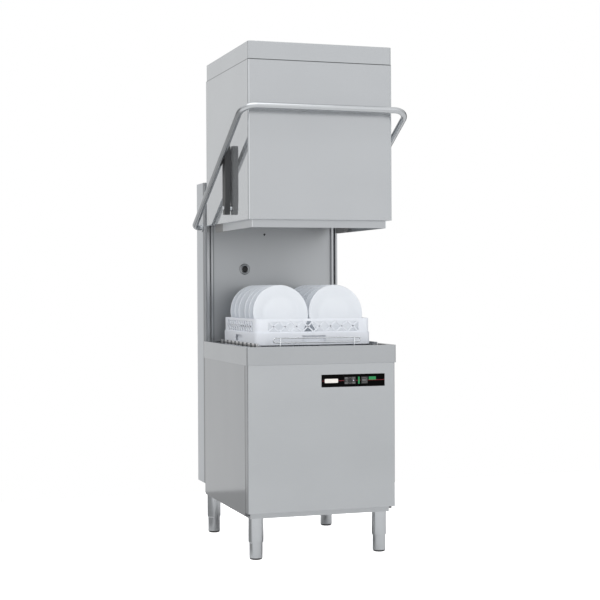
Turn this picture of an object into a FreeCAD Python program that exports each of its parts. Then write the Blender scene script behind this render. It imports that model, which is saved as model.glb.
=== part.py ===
import FreeCAD, Part
import os
from math import cos, pi, radians, sin, sqrt, tan
from FreeCAD import Placement, Rotation, Vector

# Hood-type pass-through washer for racks of glasses and plates, hood raised.
# Millimetres, +Z up, floor at Z = 0, operator's side towards -Y.
# Every Y below is counted back from the deck's front edge; export() centres the part.

# ---- driving dimensions ----------------------------------------------------
# cabinet
DECK_WIDTH = 635.0
DECK_DEPTH = 696.0
DECK_TOP = 854.5
APRON_HEIGHT = 72.5
DECK_RIM = 27.5
DECK_FRONT_RIM = 24.5
DECK_REAR_RIM = 20.0
DECK_SHEET = 2.0
DECK_MOUTH_CORNER = 12.0
DECK_FLANGE_SET = 4.0
SHEET = 1.2
RUNOUT = 30.0
PANEL_SETBACK = 4.0
PANEL_RISE = 24.5
PANEL_RETURN = 40.0
SIDE_PANEL_RISE = 10.5
SEAM = 0.6
CORNER = 5.0
HOOD_CORNER = 8.0
CASING_CORNER = 4.0
# base frame, legs and feet
BASE_BOTTOM = 167.5
BASE_HEIGHT = 40.0
BASE_RAIL = 68.0
BASE_WALL = 3.0
BASE_SIDE_INSET = 16.5
BASE_FRONT_INSET = 30.0
BASE_TAIL_LENGTH = 70.0
BASE_TAIL_INSET = 16.0
TRAY_INSET = 2.0
TRAY_SHEET = 1.5
LEG_SIDE_SET = 32.0
LEG_FRONT_Y = 66.0
LEG_TAIL_SET = 35.0
LEG_RADIUS = 30.0
LEG_WALL = 3.0
LEG_LENGTH = 95.5
LEG_NUT_DEPTH = 25.0
LEG_NUT_HEIGHT = 12.0
POST_INSET = 4.0
FOOT_RADIUS = 26.5
FOOT_STEP = 10.0
FOOT_TOE = 14.0
FOOT_SHOULDER_INSET = 1.0
STEM_RADIUS = 9.0
STEM_LENGTH = 80.0
# control panel
FASCIA_LEFT = -4.5
FASCIA_WIDTH = 272.5
FASCIA_DROP = 43.5
FASCIA_HEIGHT = 51.0
FASCIA_DEPTH = 5.0
FASCIA_PROUD = 1.5
FASCIA_EDGE = 3.0
FASCIA_CORNER = 2.0
BUTTON_TRAVEL = 1.5
BUTTON_GAP = 0.4
BUTTON_REST = 0.2
BEZEL_X = 121.5
BEZEL_SIZE = 50.0
BEZEL_SINK = 0.8
BEZEL_PROUD = 0.6
BUTTON_RADIUS = 9.5
BUTTON_PROUD = 2.2
BUTTON_DISH = 30.0
BUTTON_DISH_DEPTH = 0.8
BUTTON_WELL = 3.0
POWER_X = 183.5
POWER_WIDTH = 28.0
POWER_HEIGHT = 29.0
POWER_PROUD = 1.8
WINDOW_X = 218.5
WINDOW_WIDTH = 31.0
WINDOW_HEIGHT = 14.0
WINDOW_RISE = 7.0
WINDOW_DEPTH = 1.5
LIGHT_X = 160.0
LIGHT_WIDTH = 7.0
CONTROL_BOX_DEPTH = 52.0
CONTROL_BOX_INSET = 6.0
CONTROL_BOX_DROP = 40.0
CONTROL_LUG_INSET = 30.0
CONTROL_LUG_HEIGHT = 30.0
# tank
TANK_DEPTH = 78.5
TUB_DEPTH = 176.0
TUB_SIDE_SET = 60.0
TUB_FRONT_SET = 105.5
TUB_BACK_SET = 68.0
TUB_CORNER = 8.0
HEATER_RADIUS = 4.25
HEATER_SET = 50.0
HEATER_SPAN = 70.0
HEATER_RISE = 26.0
HEATER_FAR_SET = 80.0
HEATER_BEND = 30.0
HEATER_FLANGE = 8.0
HEATER_FLANGE_HALF = 20.0
HEATER_FLANGE_OVER = 18.0
HEATER_CAP = 30.0
HEATER_CAP_HALF = 16.0
HEATER_CAP_OVER = 10.0
SUCTION_X = 90.0
SUCTION_SET = 120.0
SUCTION_RADIUS = 20.0
SUCTION_WALL = 4.0
OVERFLOW_SET = 34.0
OVERFLOW_RADIUS = 18.0
OVERFLOW_WALL = 2.0
OVERFLOW_COLLAR = 6.0
OVERFLOW_GRIP = 2.5
OVERFLOW_BELOW = 8.0
STRAINER_RADIUS = 38.0
STRAINER_HEIGHT = 60.0
STRAINER_SHEET = 1.5
STRAINER_SLOT = 3.0
STRAINER_SLOTS = 8
STRAINER_EDGE = 8.0
FILTER_SHEET = 2.0
FILTER_COLUMN_GAP = 5.0
FILTER_OVERLAP = 12.0
FILTER_BACK_GAP = 14.0
FILTER_SLOTS = 6
FILTER_PITCH = 34.0
FILTER_SLOT = 14.0
FILTER_MARGIN = 16.0
FILTER_END = 20.0
FILTER_RIB = 8.0
# spray axis and arms
SPINDLE_RADIUS = 15.0
SPINDLE_BORE = 5.0
ARM_REACH = 240.0
RUNNING = 0.08
UPPER_PIPE_RISE = 60.5
RISER_RADIUS = 17.0
RISER_SET = 69.0
RISER_BEND = 45.0
RISER_WALL = 2.0
RISER_OVERRUN = 30.0
RINSE_PIPE_X = 44.0
RINSE_PIPE_RADIUS = 6.0
RINSE_PIPE_WALL = 1.5
LOWER_WASH_RISE = 24.0
LOWER_RINSE_RISE = 28.0
UPPER_WASH_DROP = 42.0
UPPER_RINSE_DROP = 68.0
HUB_RADIUS = 24.0
RINSE_SPINDLE = 9.0
RINSE_HUB_WALL = 9.0
HUB_HEIGHT = 20.0
HUB_GAP = 0.5
HUB_SEAT = 12.0
SEAT_INSET = 3.0
SPINDLE_NUT = 6.0
SPINDLE_NUT_OVER = 4.0
WASH_BLADE_HALF = 19.0
WASH_BLADE_THICK = 14.0
RINSE_BLADE_HALF = 8.0
RINSE_BLADE_THICK = 9.0
RINSE_ARM_CLEARANCE = 20.0
NOZZLES = 5
NOZZLE_RADIUS = 3.5
NOZZLE_STAGGER_SHARE = 0.3
ARM_SINK = 2.0
ARM_ROUND_SHARE = 0.4
NOZZLE_START = 26.0
NOZZLE_END = 18.0
# machinery in the base
PUMP_X = 90.0
PUMP_RISE = 121.0
PUMP_FOOT_DROP = 40.0
PUMP_FOOT_HALF = 50.0
PUMP_FOOT_INSET = 8.0
VOLUTE_RADIUS = 72.0
VOLUTE_WIDTH = 56.0
VOLUTE_WALL = 8.0
VOLUTE_INLET = 22.0
VOLUTE_OUTLET = 20.0
VOLUTE_THROAT = 20.0
MOTOR_RADIUS = 66.0
MOTOR_LENGTH = 190.0
MOTOR_WALL = 8.0
MOTOR_SHAFT = 26.0
MOTOR_FOOT_HALF = 45.0
MOTOR_FOOT_INSET = 30.0
FIN_DEPTH = 5.0
FIN_WIDTH = 6.0
FIN_PITCH = 16.0
FINS = 8
TERMINAL_SET = 60.0
TERMINAL_LENGTH = 70.0
TERMINAL_HALF = 32.0
TERMINAL_RISE = 26.0
TERMINAL_WALL = 4.0
TERMINAL_SINK = 16.0
HOSE_OFFSET = 60.0
HOSE_DROP = 70.0
HOSE_BEND = 40.0
HOSE_TOP_BEND = 34.0
DELIVERY_RISE = 50.0
DELIVERY_BEND = 28.0
STANDPIPE_DROP = 30.0
BRANCH_DROP = 70.0
BOILER_X = 175.0
BOILER_SET = 96.0
BOILER_RADIUS = 80.0
BOILER_HEIGHT = 330.0
BOILER_WALL = 2.0
BOILER_FOOT = 8.0
BOILER_FOOT_X = 60.0
BOILER_FOOT_Y = 50.0
BOILER_FOOT_HALF = 10.0
BOILER_FLANGE = 38.0
BOILER_FLANGE_RISE = 60.0
BOILER_FLANGE_THICK = 10.0
BOILER_CAP = 30.0
BOILER_LAP = 12.0
RINSE_RISE = 30.0
RINSE_BEND = 20.0
RINSE_FIRST_BEND = 14.0
RINSE_CROSS_GAP = 1.5
DOSER_X = (-230.0, -120.0)
DOSER_HALF = 38.0
DOSER_BODY = 40.0
DOSER_HEAD = 28.0
DOSER_HEAD_DEPTH = 26.0
DOSER_DROP = 182.0
# column
CASING_INSET = 4.5
CASING_DEPTH = 130.0
CASING_RISE = 16.5
CASING_OVER = 192.5
CASING_LIP = 20.0
CASING_WINDOW_SIDE = 60.0
CASING_WINDOW_END = 40.0
POST_WIDTH = 26.0
POST_DEPTH = 18.0
POST_WALL = 3.0
POST_SLOT = 12.0
BACK_WALL_SET = 6.0
BACK_WALL_SHEET = 2.0
PORT_X = -129.0
PORT_RISE = 318.5
PORT_RADIUS = 24.5
PORT_BORE = 13.0
PORT_WALL = 3.0
PORT_FLANGE = 4.0
PORT_BARREL = 5.0
PORT_PLUG = 3.0
VENT_X = -36.0
VENT_DROP = 35.5
VENT_RADIUS = 4.0
SCREW_HEAD = 2.2
SCREW_RADIUS = 4.5
SCREW_EDGE = 11.0
SCREW_END = 30.0
SCREWS_A_SIDE = 4
LOUVRES = 8
LOUVRE_PITCH = 16.0
LOUVRE_HEIGHT = 5.0
LOUVRE_HALF = 150.0
LOUVRE_RISE = 180.0
BUSH_RADIUS = 15.0
BUSH_LENGTH = 14.0
BUSH_FLANGE = 5.0
BUSH_FLANGE_THICK = 4.0
CONNECT_SET = 94.0
UNION_RADIUS = 18.0
UNION_THICK = 4.0
INLET_X = 150.0
INLET_RADIUS = 13.2
INLET_LENGTH = 16.0
INLET_SHANK = 11.0
INLET_BORE = 8.0
VALVE_HALF = 22.0
VALVE_HEIGHT = 46.0
COIL_RADIUS = 16.0
COIL_HEIGHT = 42.0
DRAIN_X = -150.0
DRAIN_RADIUS = 14.0
DRAIN_LENGTH = 30.0
DRAIN_SHANK = 12.5
DRAIN_BORE = 11.0
DRAIN_CASE_RADIUS = 34.0
DRAIN_CASE_HEIGHT = 40.0
DRAIN_MOTOR_RADIUS = 26.0
DRAIN_MOTOR_HEIGHT = 56.0
GLAND_X = 230.0
GLAND_BORE = 7.0
GLAND_THREAD = 11.0
GLAND_DOME = 14.0
GLAND_LENGTH = 20.0
GLAND_NUT = 16.0
GLAND_NUT_THICK = 6.0
# hood
HOOD_INSET = 11.5
HOOD_FRONT = 8.5
HOOD_BACK_SET = 21.0
HOOD_TRAVEL = 508.0
HOOD_REST_GAP = 1.0
HOOD_HEIGHT = 635.5
CAP_HEIGHT = 71.5
CAP_INSET = 1.5
LIP_INSET = 20.0
LIP_DROP = 31.5
LIP_BACK_SET = 200.0
HOOD_ROOF_DROP = 14.0
SPACER_SET = 60.0
SPACER_SIZE = 30.0
SPACER_INSET = 20.0
JAMB_LAP = 4.0
SHOE_CLEARANCE = 0.5
SHOE_HEIGHT = 40.0
SHOE_LOW_RISE = 6.5
SHOE_PITCH = 130.0
SHOE_HALF = 11.0
BLOCK_WIDTH = 16.0
BLOCK_BACK_SET = 185.0
BLOCK_LENGTH = 110.0
BLOCK_HEIGHT = 20.0
BLOCK_CORNER = 3.0
BLOCK_SCREW = 5.0
BLOCK_SCREW_HEAD = 2.0
# handle and lift links
PIVOT_SET = 35.0
PIVOT_DROP = 5.5
BAR_FORWARD = 68.66
HANDLE_ANGLE = 29.5
HANDLE_TUBE = 12.5
HANDLE_SIDE_SET = 36.0
HANDLE_BEND = 60.0
HANDLE_END_BEND = 26.0
HANDLE_TIP_GAP = 7.0
SHAFT_RADIUS = 10.0
SHAFT_ENTRY = 3.0
LEVER_LENGTH = 60.0
LEVER_END = 8.0
LEVER_HALF = 8.0
LEVER_THICK = 8.0
LEVER_HUB = 6.0
LEVER_HUB_WIDTH = 28.0
LINK_PIN_SET = 268.5
LINK_PIN_RISE = 56.5
LINK_GAP = 6.0
LINK_THICK = 22.0
LINK_WIDTH = 46.0
LINK_TOP_OVER = 62.0
LINK_FOOT_OVER = 27.0
LINK_TAPER = 60.0
LINK_TAPER_SIDE = 10.0
LINK_FRONT_CHAMFER = 6.0
LINK_BACK_CHAMFER = 14.0
LINK_PIN_RADIUS = 6.0
LINK_PIN_BASE = 6.0
LINK_PIN_HEAD = 4.0
LINK_BOSS = 3.0
OPEN_PIVOT_GAP = 0.3
SPRING_X = 200.0
SPRING_RADIUS = 15.0
SPRING_WIRE = 3.0
SPRING_RISE = 50.5
SPRING_HOOK = 12.0
SPRING_TOP_HOOK = 14.0
ANCHOR_HALF = 16.0
ANCHOR_THICK = 3.0
# rack, its track and the plates
RACK_SIZE = 500.0
RACK_SHARE = 0.6404
RACK_CLEAR = 1.5
RACK_HEIGHT = 107.0
RACK_WALL = 7.0
RACK_STEP = 3.0
RACK_STEP_HEIGHT = 50.0
RACK_CORNER = 14.0
RACK_WELL_CORNER = 8.0
RACK_BAR = 4.0
RACK_BARS = 9
RACK_FLOOR = 12.0
PEG_RADIUS = 2.5
PEG_HEIGHT = 58.0
PEG_ROOT = 4.0
RACK_WINDOWS = 10
RACK_WINDOW_END = 30.0
RACK_WINDOW_POST = 8.0
RACK_WINDOW_SILL = 6.0
RACK_RIM = 12.0
RACK_GRIP = 104.0
RACK_GRIP_TOP = 12.0
RACK_GRIP_HEIGHT = 14.0
PEG_BEHIND = 19.0
PEG_COLUMNS = (-195.0, -120.0, -45.0, 45.0, 120.0, 195.0)
TRACK_CLEARANCE = 4.0
TRACK_WALL = 6.0
TRACK_RISE = 9.0
TRACK_LEDGE = 14.0
TRACK_DEPTH = 22.0
TRACK_SHARE = 0.251
TRACK_BACK_SET = 24.0
TRACK_BAR = 16.0
TRACK_BAR_THICK = 8.0
TRACK_LEG = 14.0
NOTCH_START = 20.0
NOTCH_PITCH = 60.0
NOTCH_WIDTH = 10.0
NOTCH_DEPTH = 6.0
STOP_SHARE = 0.3258
STOP_WIRE_RADIUS = 2.5
STOP_HALF_LENGTH = 189.0
STOP_RISE = 21.0
STOP_HEIGHT = 18.0
STOP_CLIP_X = 159.0
STOP_CLIP_HALF = 5.0
STOP_CLIP_THICK = 4.0
PLATE_RADIUS = 118.0
PLATE_THICK = 4.0
PLATE_LEAN = 9.0
PLATE_RISE = 16.0
PLATE_LIP_SHARE = 0.8
PLATE_WELL_SHARE = 0.62
PLATE_WELL_BACK_SHARE = 0.64
SEAT_GAP = 0.3
PLATE_COLUMN_X = 120.0
PLATE_ROWS = (68.0, 133.0, 198.0, 288.0, 353.0, 418.0)

# ---- sizes that follow -----------------------------------------------------
HALF_DECK = DECK_WIDTH / 2
HALF_PANEL = HALF_DECK - PANEL_SETBACK
OPENING_HALF = HALF_DECK - DECK_RIM
OPENING_BACK = DECK_DEPTH - DECK_REAR_RIM - POST_DEPTH
APRON_BOTTOM = DECK_TOP - APRON_HEIGHT
DECK_UNDER = DECK_TOP - DECK_SHEET
PANEL_BOTTOM = BASE_BOTTOM + PANEL_RISE
SIDE_PANEL_BOTTOM = BASE_BOTTOM + SIDE_PANEL_RISE
CASING_FRONT = DECK_DEPTH
CASING_BACK = CASING_FRONT + CASING_DEPTH
CASING_HALF_WIDTH = HALF_DECK - CASING_INSET
BASE_TOP = BASE_BOTTOM + BASE_HEIGHT
CASING_BOTTOM = BASE_TOP + CASING_RISE
BASE_HALF = HALF_PANEL - BASE_SIDE_INSET
BASE_FRONT = PANEL_SETBACK + BASE_FRONT_INSET
BASE_BACK = DECK_DEPTH + BASE_TAIL_LENGTH
TRAY_TOP = BASE_TOP + TRAY_SHEET
LEG_X = BASE_HALF - LEG_SIDE_SET
LEG_REAR_Y = CASING_FRONT + LEG_TAIL_SET
FOOT_SHOULDER = BASE_BOTTOM - LEG_LENGTH
FASCIA_TOP = APRON_BOTTOM - FASCIA_DROP
FASCIA_BOTTOM = FASCIA_TOP - FASCIA_HEIGHT
FASCIA_RIGHT = FASCIA_LEFT + FASCIA_WIDTH
FASCIA_MID = (FASCIA_BOTTOM + FASCIA_TOP) / 2
FASCIA_FACE = PANEL_SETBACK - FASCIA_PROUD
BEZEL_CENTRE_X = FASCIA_LEFT + BEZEL_X
POWER_CENTRE_X = FASCIA_LEFT + POWER_X
WINDOW_CENTRE_X = FASCIA_LEFT + WINDOW_X
LIGHT_CENTRE_X = FASCIA_LEFT + LIGHT_X
TANK_FLOOR = DECK_TOP - TANK_DEPTH
TUB_BOTTOM = TANK_FLOOR - TUB_DEPTH
TUB_HALF_WIDTH = OPENING_HALF - TUB_SIDE_SET
TUB_FRONT = DECK_FRONT_RIM + TUB_FRONT_SET
TUB_BACK = OPENING_BACK - TUB_BACK_SET
AXIS_Y = (DECK_FRONT_RIM + OPENING_BACK) / 2
HEATER_LEGS = (TUB_FRONT + HEATER_SET, TUB_FRONT + HEATER_SET + HEATER_SPAN)
HEATER_Z = TUB_BOTTOM + HEATER_RISE
SUCTION_Y = TUB_BACK - SUCTION_SET
OVERFLOW_X = OVERFLOW_SET - TUB_HALF_WIDTH
OVERFLOW_Y = TUB_BACK - OVERFLOW_SET
OVERFLOW_TOP = TANK_FLOOR - OVERFLOW_BELOW
STANDPIPE_FOOT = TUB_BOTTOM - STANDPIPE_DROP
BRANCH_Z = TUB_BOTTOM - BRANCH_DROP
RISER_FOOT = TUB_BOTTOM
RISER_Y = CASING_FRONT + RISER_SET
CONNECT_Y = CASING_FRONT + CONNECT_SET
BOILER_Y = CASING_FRONT - BOILER_SET
PUMP_Z = TRAY_TOP + PUMP_RISE
LOWER_WASH_Z = TANK_FLOOR + LOWER_WASH_RISE
LOWER_RINSE_Z = LOWER_WASH_Z + LOWER_RINSE_RISE
DOSER_Z = APRON_BOTTOM - DOSER_DROP
HOOD_HALF_WIDTH = HALF_DECK - HOOD_INSET
HOOD_BACK = CASING_FRONT - HOOD_BACK_SET
HOOD_BOTTOM = DECK_TOP + HOOD_REST_GAP + HOOD_TRAVEL
HOOD_SEAM = HOOD_BOTTOM + HOOD_HEIGHT
HOOD_TOP = HOOD_SEAM + CAP_HEIGHT
HOOD_ROOF = HOOD_SEAM - HOOD_ROOF_DROP
LIP_HALF = HOOD_HALF_WIDTH - LIP_INSET
LIP_FRONT = HOOD_FRONT + LIP_INSET
LIP_BOTTOM = HOOD_BOTTOM - LIP_DROP
LIP_SIDE_END = HOOD_BACK - LIP_BACK_SET
BLOCK_START = HOOD_BACK - BLOCK_BACK_SET
SHOE_LOW_Z = HOOD_BOTTOM + SHOE_LOW_RISE
SHOE_HIGH_Z = SHOE_LOW_Z + SHOE_PITCH
CASING_TOP = HOOD_BOTTOM + CASING_OVER
UPPER_PIPE_Z = HOOD_BOTTOM + UPPER_PIPE_RISE
UPPER_WASH_Z = UPPER_PIPE_Z - UPPER_WASH_DROP
UPPER_RINSE_Z = UPPER_PIPE_Z - UPPER_RINSE_DROP
RINSE_PIPE_Z = UPPER_PIPE_Z + RISER_RADIUS + RINSE_PIPE_RADIUS + RINSE_CROSS_GAP
PORT_Z = DECK_TOP + PORT_RISE
VENT_Z = HOOD_BOTTOM - VENT_DROP
POST_OUTER = HOOD_HALF_WIDTH - SHEET - SHOE_CLEARANCE
POST_INNER = POST_OUTER - POST_WIDTH
POST_FRONT = CASING_FRONT - POST_DEPTH
POST_MID = (POST_OUTER + POST_INNER) / 2
PIVOT_Y = CASING_FRONT + PIVOT_SET
PIVOT_Z = HOOD_BOTTOM - PIVOT_DROP
BAR_Y = HOOD_FRONT - BAR_FORWARD
BAR_Z = PIVOT_Z + (PIVOT_Y - BAR_Y) * tan(radians(HANDLE_ANGLE))
HANDLE_X = CASING_HALF_WIDTH + HANDLE_SIDE_SET
HANDLE_TIP = CASING_HALF_WIDTH + HANDLE_TIP_GAP
LINK_PIN_Y = HOOD_FRONT + LINK_PIN_SET
LINK_PIN_Z = HOOD_BOTTOM + LINK_PIN_RISE
UPPER_PIN_Z = PIVOT_Z + (PIVOT_Y - LINK_PIN_Y) * tan(radians(HANDLE_ANGLE))
LINK_INNER = HOOD_HALF_WIDTH + LINK_GAP
LINK_OUTER = LINK_INNER + LINK_THICK
SPRING_BOTTOM = DECK_TOP + SPRING_RISE
RACK_SPARE = OPENING_BACK - DECK_FRONT_RIM - RACK_SIZE
RACK_FRONT = DECK_FRONT_RIM + RACK_SPARE * RACK_SHARE
RACK_BOTTOM = DECK_TOP + RACK_CLEAR
TRACK_INNER = RACK_SIZE / 2 + TRACK_CLEARANCE
RINSE_REACH = TRACK_INNER - TRACK_LEDGE - RINSE_ARM_CLEARANCE
TRACK_FRONT = DECK_FRONT_RIM + RACK_SPARE * TRACK_SHARE
TRACK_BACK = OPENING_BACK - TRACK_BACK_SET
NOTCH_COUNT = int((TRACK_BACK - TRACK_FRONT - NOTCH_START) // NOTCH_PITCH)
STOP_Y = DECK_FRONT_RIM + RACK_SPARE * STOP_SHARE
STOP_Z = RACK_BOTTOM + STOP_RISE
Y_SHIFT = -(CASING_BACK + SCREW_HEAD + BAR_Y - HANDLE_TUBE) / 2


# ---- small shared builders -------------------------------------------------
def box(x0, x1, y0, y1, z0, z1):
    return Part.makeBox(x1 - x0, y1 - y0, z1 - z0, Vector(x0, y0, z0))


def rod(radius, start, end):
    start, end = Vector(*start), Vector(*end)
    run = end - start
    return Part.makeCylinder(radius, run.Length, start, run)


def pipe(outer, inner, start, end):
    return rod(outer, start, end).cut(rod(inner, start, end))


def fused(shapes):
    shapes = list(shapes)
    whole = shapes[0]
    if len(shapes) > 1:
        whole = whole.fuse(shapes[1:])
    return whole.removeSplitter()


def mirrored(shape):
    return shape.mirror(Vector(0, 0, 0), Vector(1, 0, 0))


def both_sides(shape):
    return Part.makeCompound([shape, mirrored(shape)])


def rounded_wire(points, radii):
    """Edges along the points, each corner turned by an arc of its radius."""
    edges = []
    last = Vector(*points[0])
    for before, corner, after, radius in zip(points, points[1:], points[2:], radii):
        corner = Vector(*corner)
        to_before = (Vector(*before) - corner).normalize()
        to_after = (Vector(*after) - corner).normalize()
        half = to_before.getAngle(to_after) / 2
        start = corner + to_before * (radius / tan(half))
        end = corner + to_after * (radius / tan(half))
        middle = corner + (to_before + to_after).normalize() * (radius / sin(half) - radius)
        edges.append(Part.LineSegment(last, start).toShape())
        edges.append(Part.Arc(start, middle, end).toShape())
        last = end
    edges.append(Part.LineSegment(last, Vector(*points[-1])).toShape())
    return Part.Wire(edges)


def bent_rod(points, radii, radius):
    path = rounded_wire(points, radii)
    start = Vector(*points[0])
    circle = Part.Wire(Part.makeCircle(radius, start, Vector(*points[1]) - start))
    return path.makePipeShell([circle], True, False)


def bent_pipe(points, radii, outer, inner):
    return bent_rod(points, radii, outer).cut(bent_rod(points, radii, inner))


def rounded_box(x0, x1, y0, y1, z0, z1, radius, axis):
    """Box with the four edges along the axis rounded."""
    shape = box(x0, x1, y0, y1, z0, z1)
    along = {"x": Vector(1, 0, 0), "y": Vector(0, 1, 0), "z": Vector(0, 0, 1)}[axis]
    edges = [e for e in shape.Edges
             if abs((e.Vertexes[1].Point - e.Vertexes[0].Point).normalize().dot(along)) > 0.99]
    return shape.makeFillet(radius, edges)


def export(name, shape):
    placed = shape.copy()
    placed.translate(Vector(0, Y_SHIFT, 0))
    placed.exportStep("parts/" + name + ".step")


# ---- base frame, tray, legs and feet ---------------------------------------
def base_outline(inset, z0, z1):
    """The frame's plan, drawn in by an inset: a wide front part and a narrower tail."""
    half, tail_half = BASE_HALF - inset, BASE_HALF - BASE_TAIL_INSET - inset
    front = box(-half, half, BASE_FRONT + inset, DECK_DEPTH - SHEET - inset, z0, z1)
    return front.fuse(box(-tail_half, tail_half, BASE_FRONT + inset, BASE_BACK - inset, z0, z1))


def base_frame():
    """Folded angle rails with a pad for each leg."""
    rails = base_outline(0, BASE_BOTTOM, BASE_TOP).cut(base_outline(BASE_WALL, BASE_BOTTOM, BASE_TOP - BASE_WALL))
    rails = rails.cut(base_outline(BASE_RAIL, BASE_BOTTOM, BASE_TOP))
    pads = []
    for x, y in leg_places():
        pad = box(x - LEG_RADIUS - 1, x + LEG_RADIUS + 1, y - LEG_RADIUS - 1, y + LEG_RADIUS + 1,
                  BASE_BOTTOM, BASE_BOTTOM + BASE_WALL)
        post = pipe(LEG_RADIUS - POST_INSET, LEG_RADIUS - POST_INSET - BASE_WALL, (x, y, BASE_BOTTOM),
                    (x, y, BASE_TOP - BASE_WALL))
        pads.append(pad.common(base_outline(0, BASE_BOTTOM, BASE_TOP)).fuse(post))
    return fused([rails] + pads)


def base_tray():
    half = BASE_HALF - BASE_TAIL_INSET - TRAY_INSET
    return box(-half, half, BASE_FRONT + TRAY_INSET, CASING_FRONT - SEAM, BASE_TOP, TRAY_TOP)


def leg_places():
    return [(x, y) for y in (LEG_FRONT_Y, LEG_REAR_Y) for x in (-LEG_X, LEG_X)]


def leg_tubes():
    tubes = []
    for x, y in leg_places():
        tube = pipe(LEG_RADIUS, LEG_RADIUS - LEG_WALL, (x, y, FOOT_SHOULDER), (x, y, BASE_BOTTOM))
        nut_z = BASE_BOTTOM - LEG_NUT_DEPTH
        nut = pipe(LEG_RADIUS - LEG_WALL, STEM_RADIUS + RUNNING, (x, y, nut_z), (x, y, nut_z + LEG_NUT_HEIGHT))
        tubes.append(fused([tube, nut]))
    return Part.makeCompound(tubes)


def foot(x, y):
    toe = Part.makeCylinder(FOOT_RADIUS, FOOT_TOE, Vector(x, y, 0))
    toe = toe.makeFillet(FOOT_TOE * 0.7, [e for e in toe.Edges if abs(e.BoundBox.ZMax) < 0.01])
    barrel = rod(FOOT_RADIUS, (x, y, FOOT_TOE), (x, y, FOOT_SHOULDER - FOOT_STEP))
    shoulder = Part.makeCone(FOOT_RADIUS, LEG_RADIUS - FOOT_SHOULDER_INSET, FOOT_STEP,
                             Vector(x, y, FOOT_SHOULDER - FOOT_STEP))
    stem = rod(STEM_RADIUS, (x, y, FOOT_SHOULDER), (x, y, FOOT_SHOULDER + STEM_LENGTH))
    return fused([toe, barrel, shoulder, stem])


# ---- cabinet panels and deck -----------------------------------------------
def fascia_hole():
    return box(FASCIA_LEFT + FASCIA_EDGE, FASCIA_RIGHT - FASCIA_EDGE, -1, PANEL_SETBACK + SHEET + 1,
               FASCIA_BOTTOM + FASCIA_EDGE, FASCIA_TOP - FASCIA_EDGE)


def front_panel():
    back = PANEL_SETBACK + PANEL_RETURN
    top = APRON_BOTTOM - SEAM
    skin = rounded_box(-HALF_PANEL, HALF_PANEL, PANEL_SETBACK, back + RUNOUT, PANEL_BOTTOM, top, CORNER, "z")
    inside = rounded_box(-HALF_PANEL + SHEET, HALF_PANEL - SHEET, PANEL_SETBACK + SHEET, back + 2 * RUNOUT,
                         PANEL_BOTTOM - 1, top + 1, CORNER - SHEET, "z")
    behind = box(-HALF_PANEL - 1, HALF_PANEL + 1, back, back + 2 * RUNOUT, PANEL_BOTTOM - 1, top + 1)
    foot_flange = box(-HALF_PANEL + SHEET, HALF_PANEL - SHEET, PANEL_SETBACK + SHEET, BASE_FRONT,
                      PANEL_BOTTOM, PANEL_BOTTOM + SHEET)
    return fused([skin.cut(inside).cut(behind), foot_flange]).cut(fascia_hole())


def side_panel():
    """Right-hand side sheet with a flange turned in at its foot onto the base frame."""
    top = APRON_BOTTOM - SEAM
    front = PANEL_SETBACK + PANEL_RETURN + SEAM
    sheet = box(HALF_PANEL - SHEET, HALF_PANEL, front, CASING_FRONT - SEAM, SIDE_PANEL_BOTTOM, top)
    flange = box(BASE_HALF, HALF_PANEL - SHEET, front, CASING_FRONT - SEAM,
                 SIDE_PANEL_BOTTOM, SIDE_PANEL_BOTTOM + SHEET)
    return fused([sheet, flange])


def deck():
    outer = rounded_box(-HALF_DECK, HALF_DECK, 0, DECK_DEPTH, APRON_BOTTOM, DECK_TOP, CORNER, "z")
    inside = box(-HALF_DECK + SHEET, HALF_DECK - SHEET, SHEET, DECK_DEPTH - SHEET,
                 APRON_BOTTOM - 1, DECK_UNDER)
    mouth = rounded_box(-OPENING_HALF, OPENING_HALF, DECK_FRONT_RIM, OPENING_BACK,
                        DECK_UNDER - 1, DECK_TOP + 1, DECK_MOUTH_CORNER, "z")
    flanges = [box(x0, x1, SHEET, DECK_DEPTH - SHEET, APRON_BOTTOM, APRON_BOTTOM + SHEET)
               for x0, x1 in ((-HALF_DECK + SHEET, -OPENING_HALF - DECK_FLANGE_SET),
                               (OPENING_HALF + DECK_FLANGE_SET, HALF_DECK - SHEET))]
    front_flange = box(-HALF_DECK + SHEET, HALF_DECK - SHEET, SHEET, DECK_FRONT_RIM - DECK_FLANGE_SET,
                       APRON_BOTTOM, APRON_BOTTOM + SHEET)
    return fused([outer.cut(inside).cut(mouth), front_flange] + flanges)


# ---- wash tank and what stands in it ---------------------------------------
def tub_space():
    """The room inside the tub, up through the tray's floor."""
    return rounded_box(-TUB_HALF_WIDTH + SHEET, TUB_HALF_WIDTH - SHEET, TUB_FRONT + SHEET, TUB_BACK - SHEET,
                       TUB_BOTTOM + SHEET, TANK_FLOOR + SHEET + 1, TUB_CORNER, "z")


def wash_tank():
    """Shallow welded tray under the deck's mouth, open over the tub."""
    tray = box(-OPENING_HALF - SHEET, OPENING_HALF + SHEET, DECK_FRONT_RIM - SHEET, OPENING_BACK + SHEET,
               TANK_FLOOR, DECK_UNDER)
    inside = box(-OPENING_HALF, OPENING_HALF, DECK_FRONT_RIM, OPENING_BACK, TANK_FLOOR + SHEET, DECK_UNDER + 1)
    return tray.cut(inside).cut(tub_space()).removeSplitter()


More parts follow.
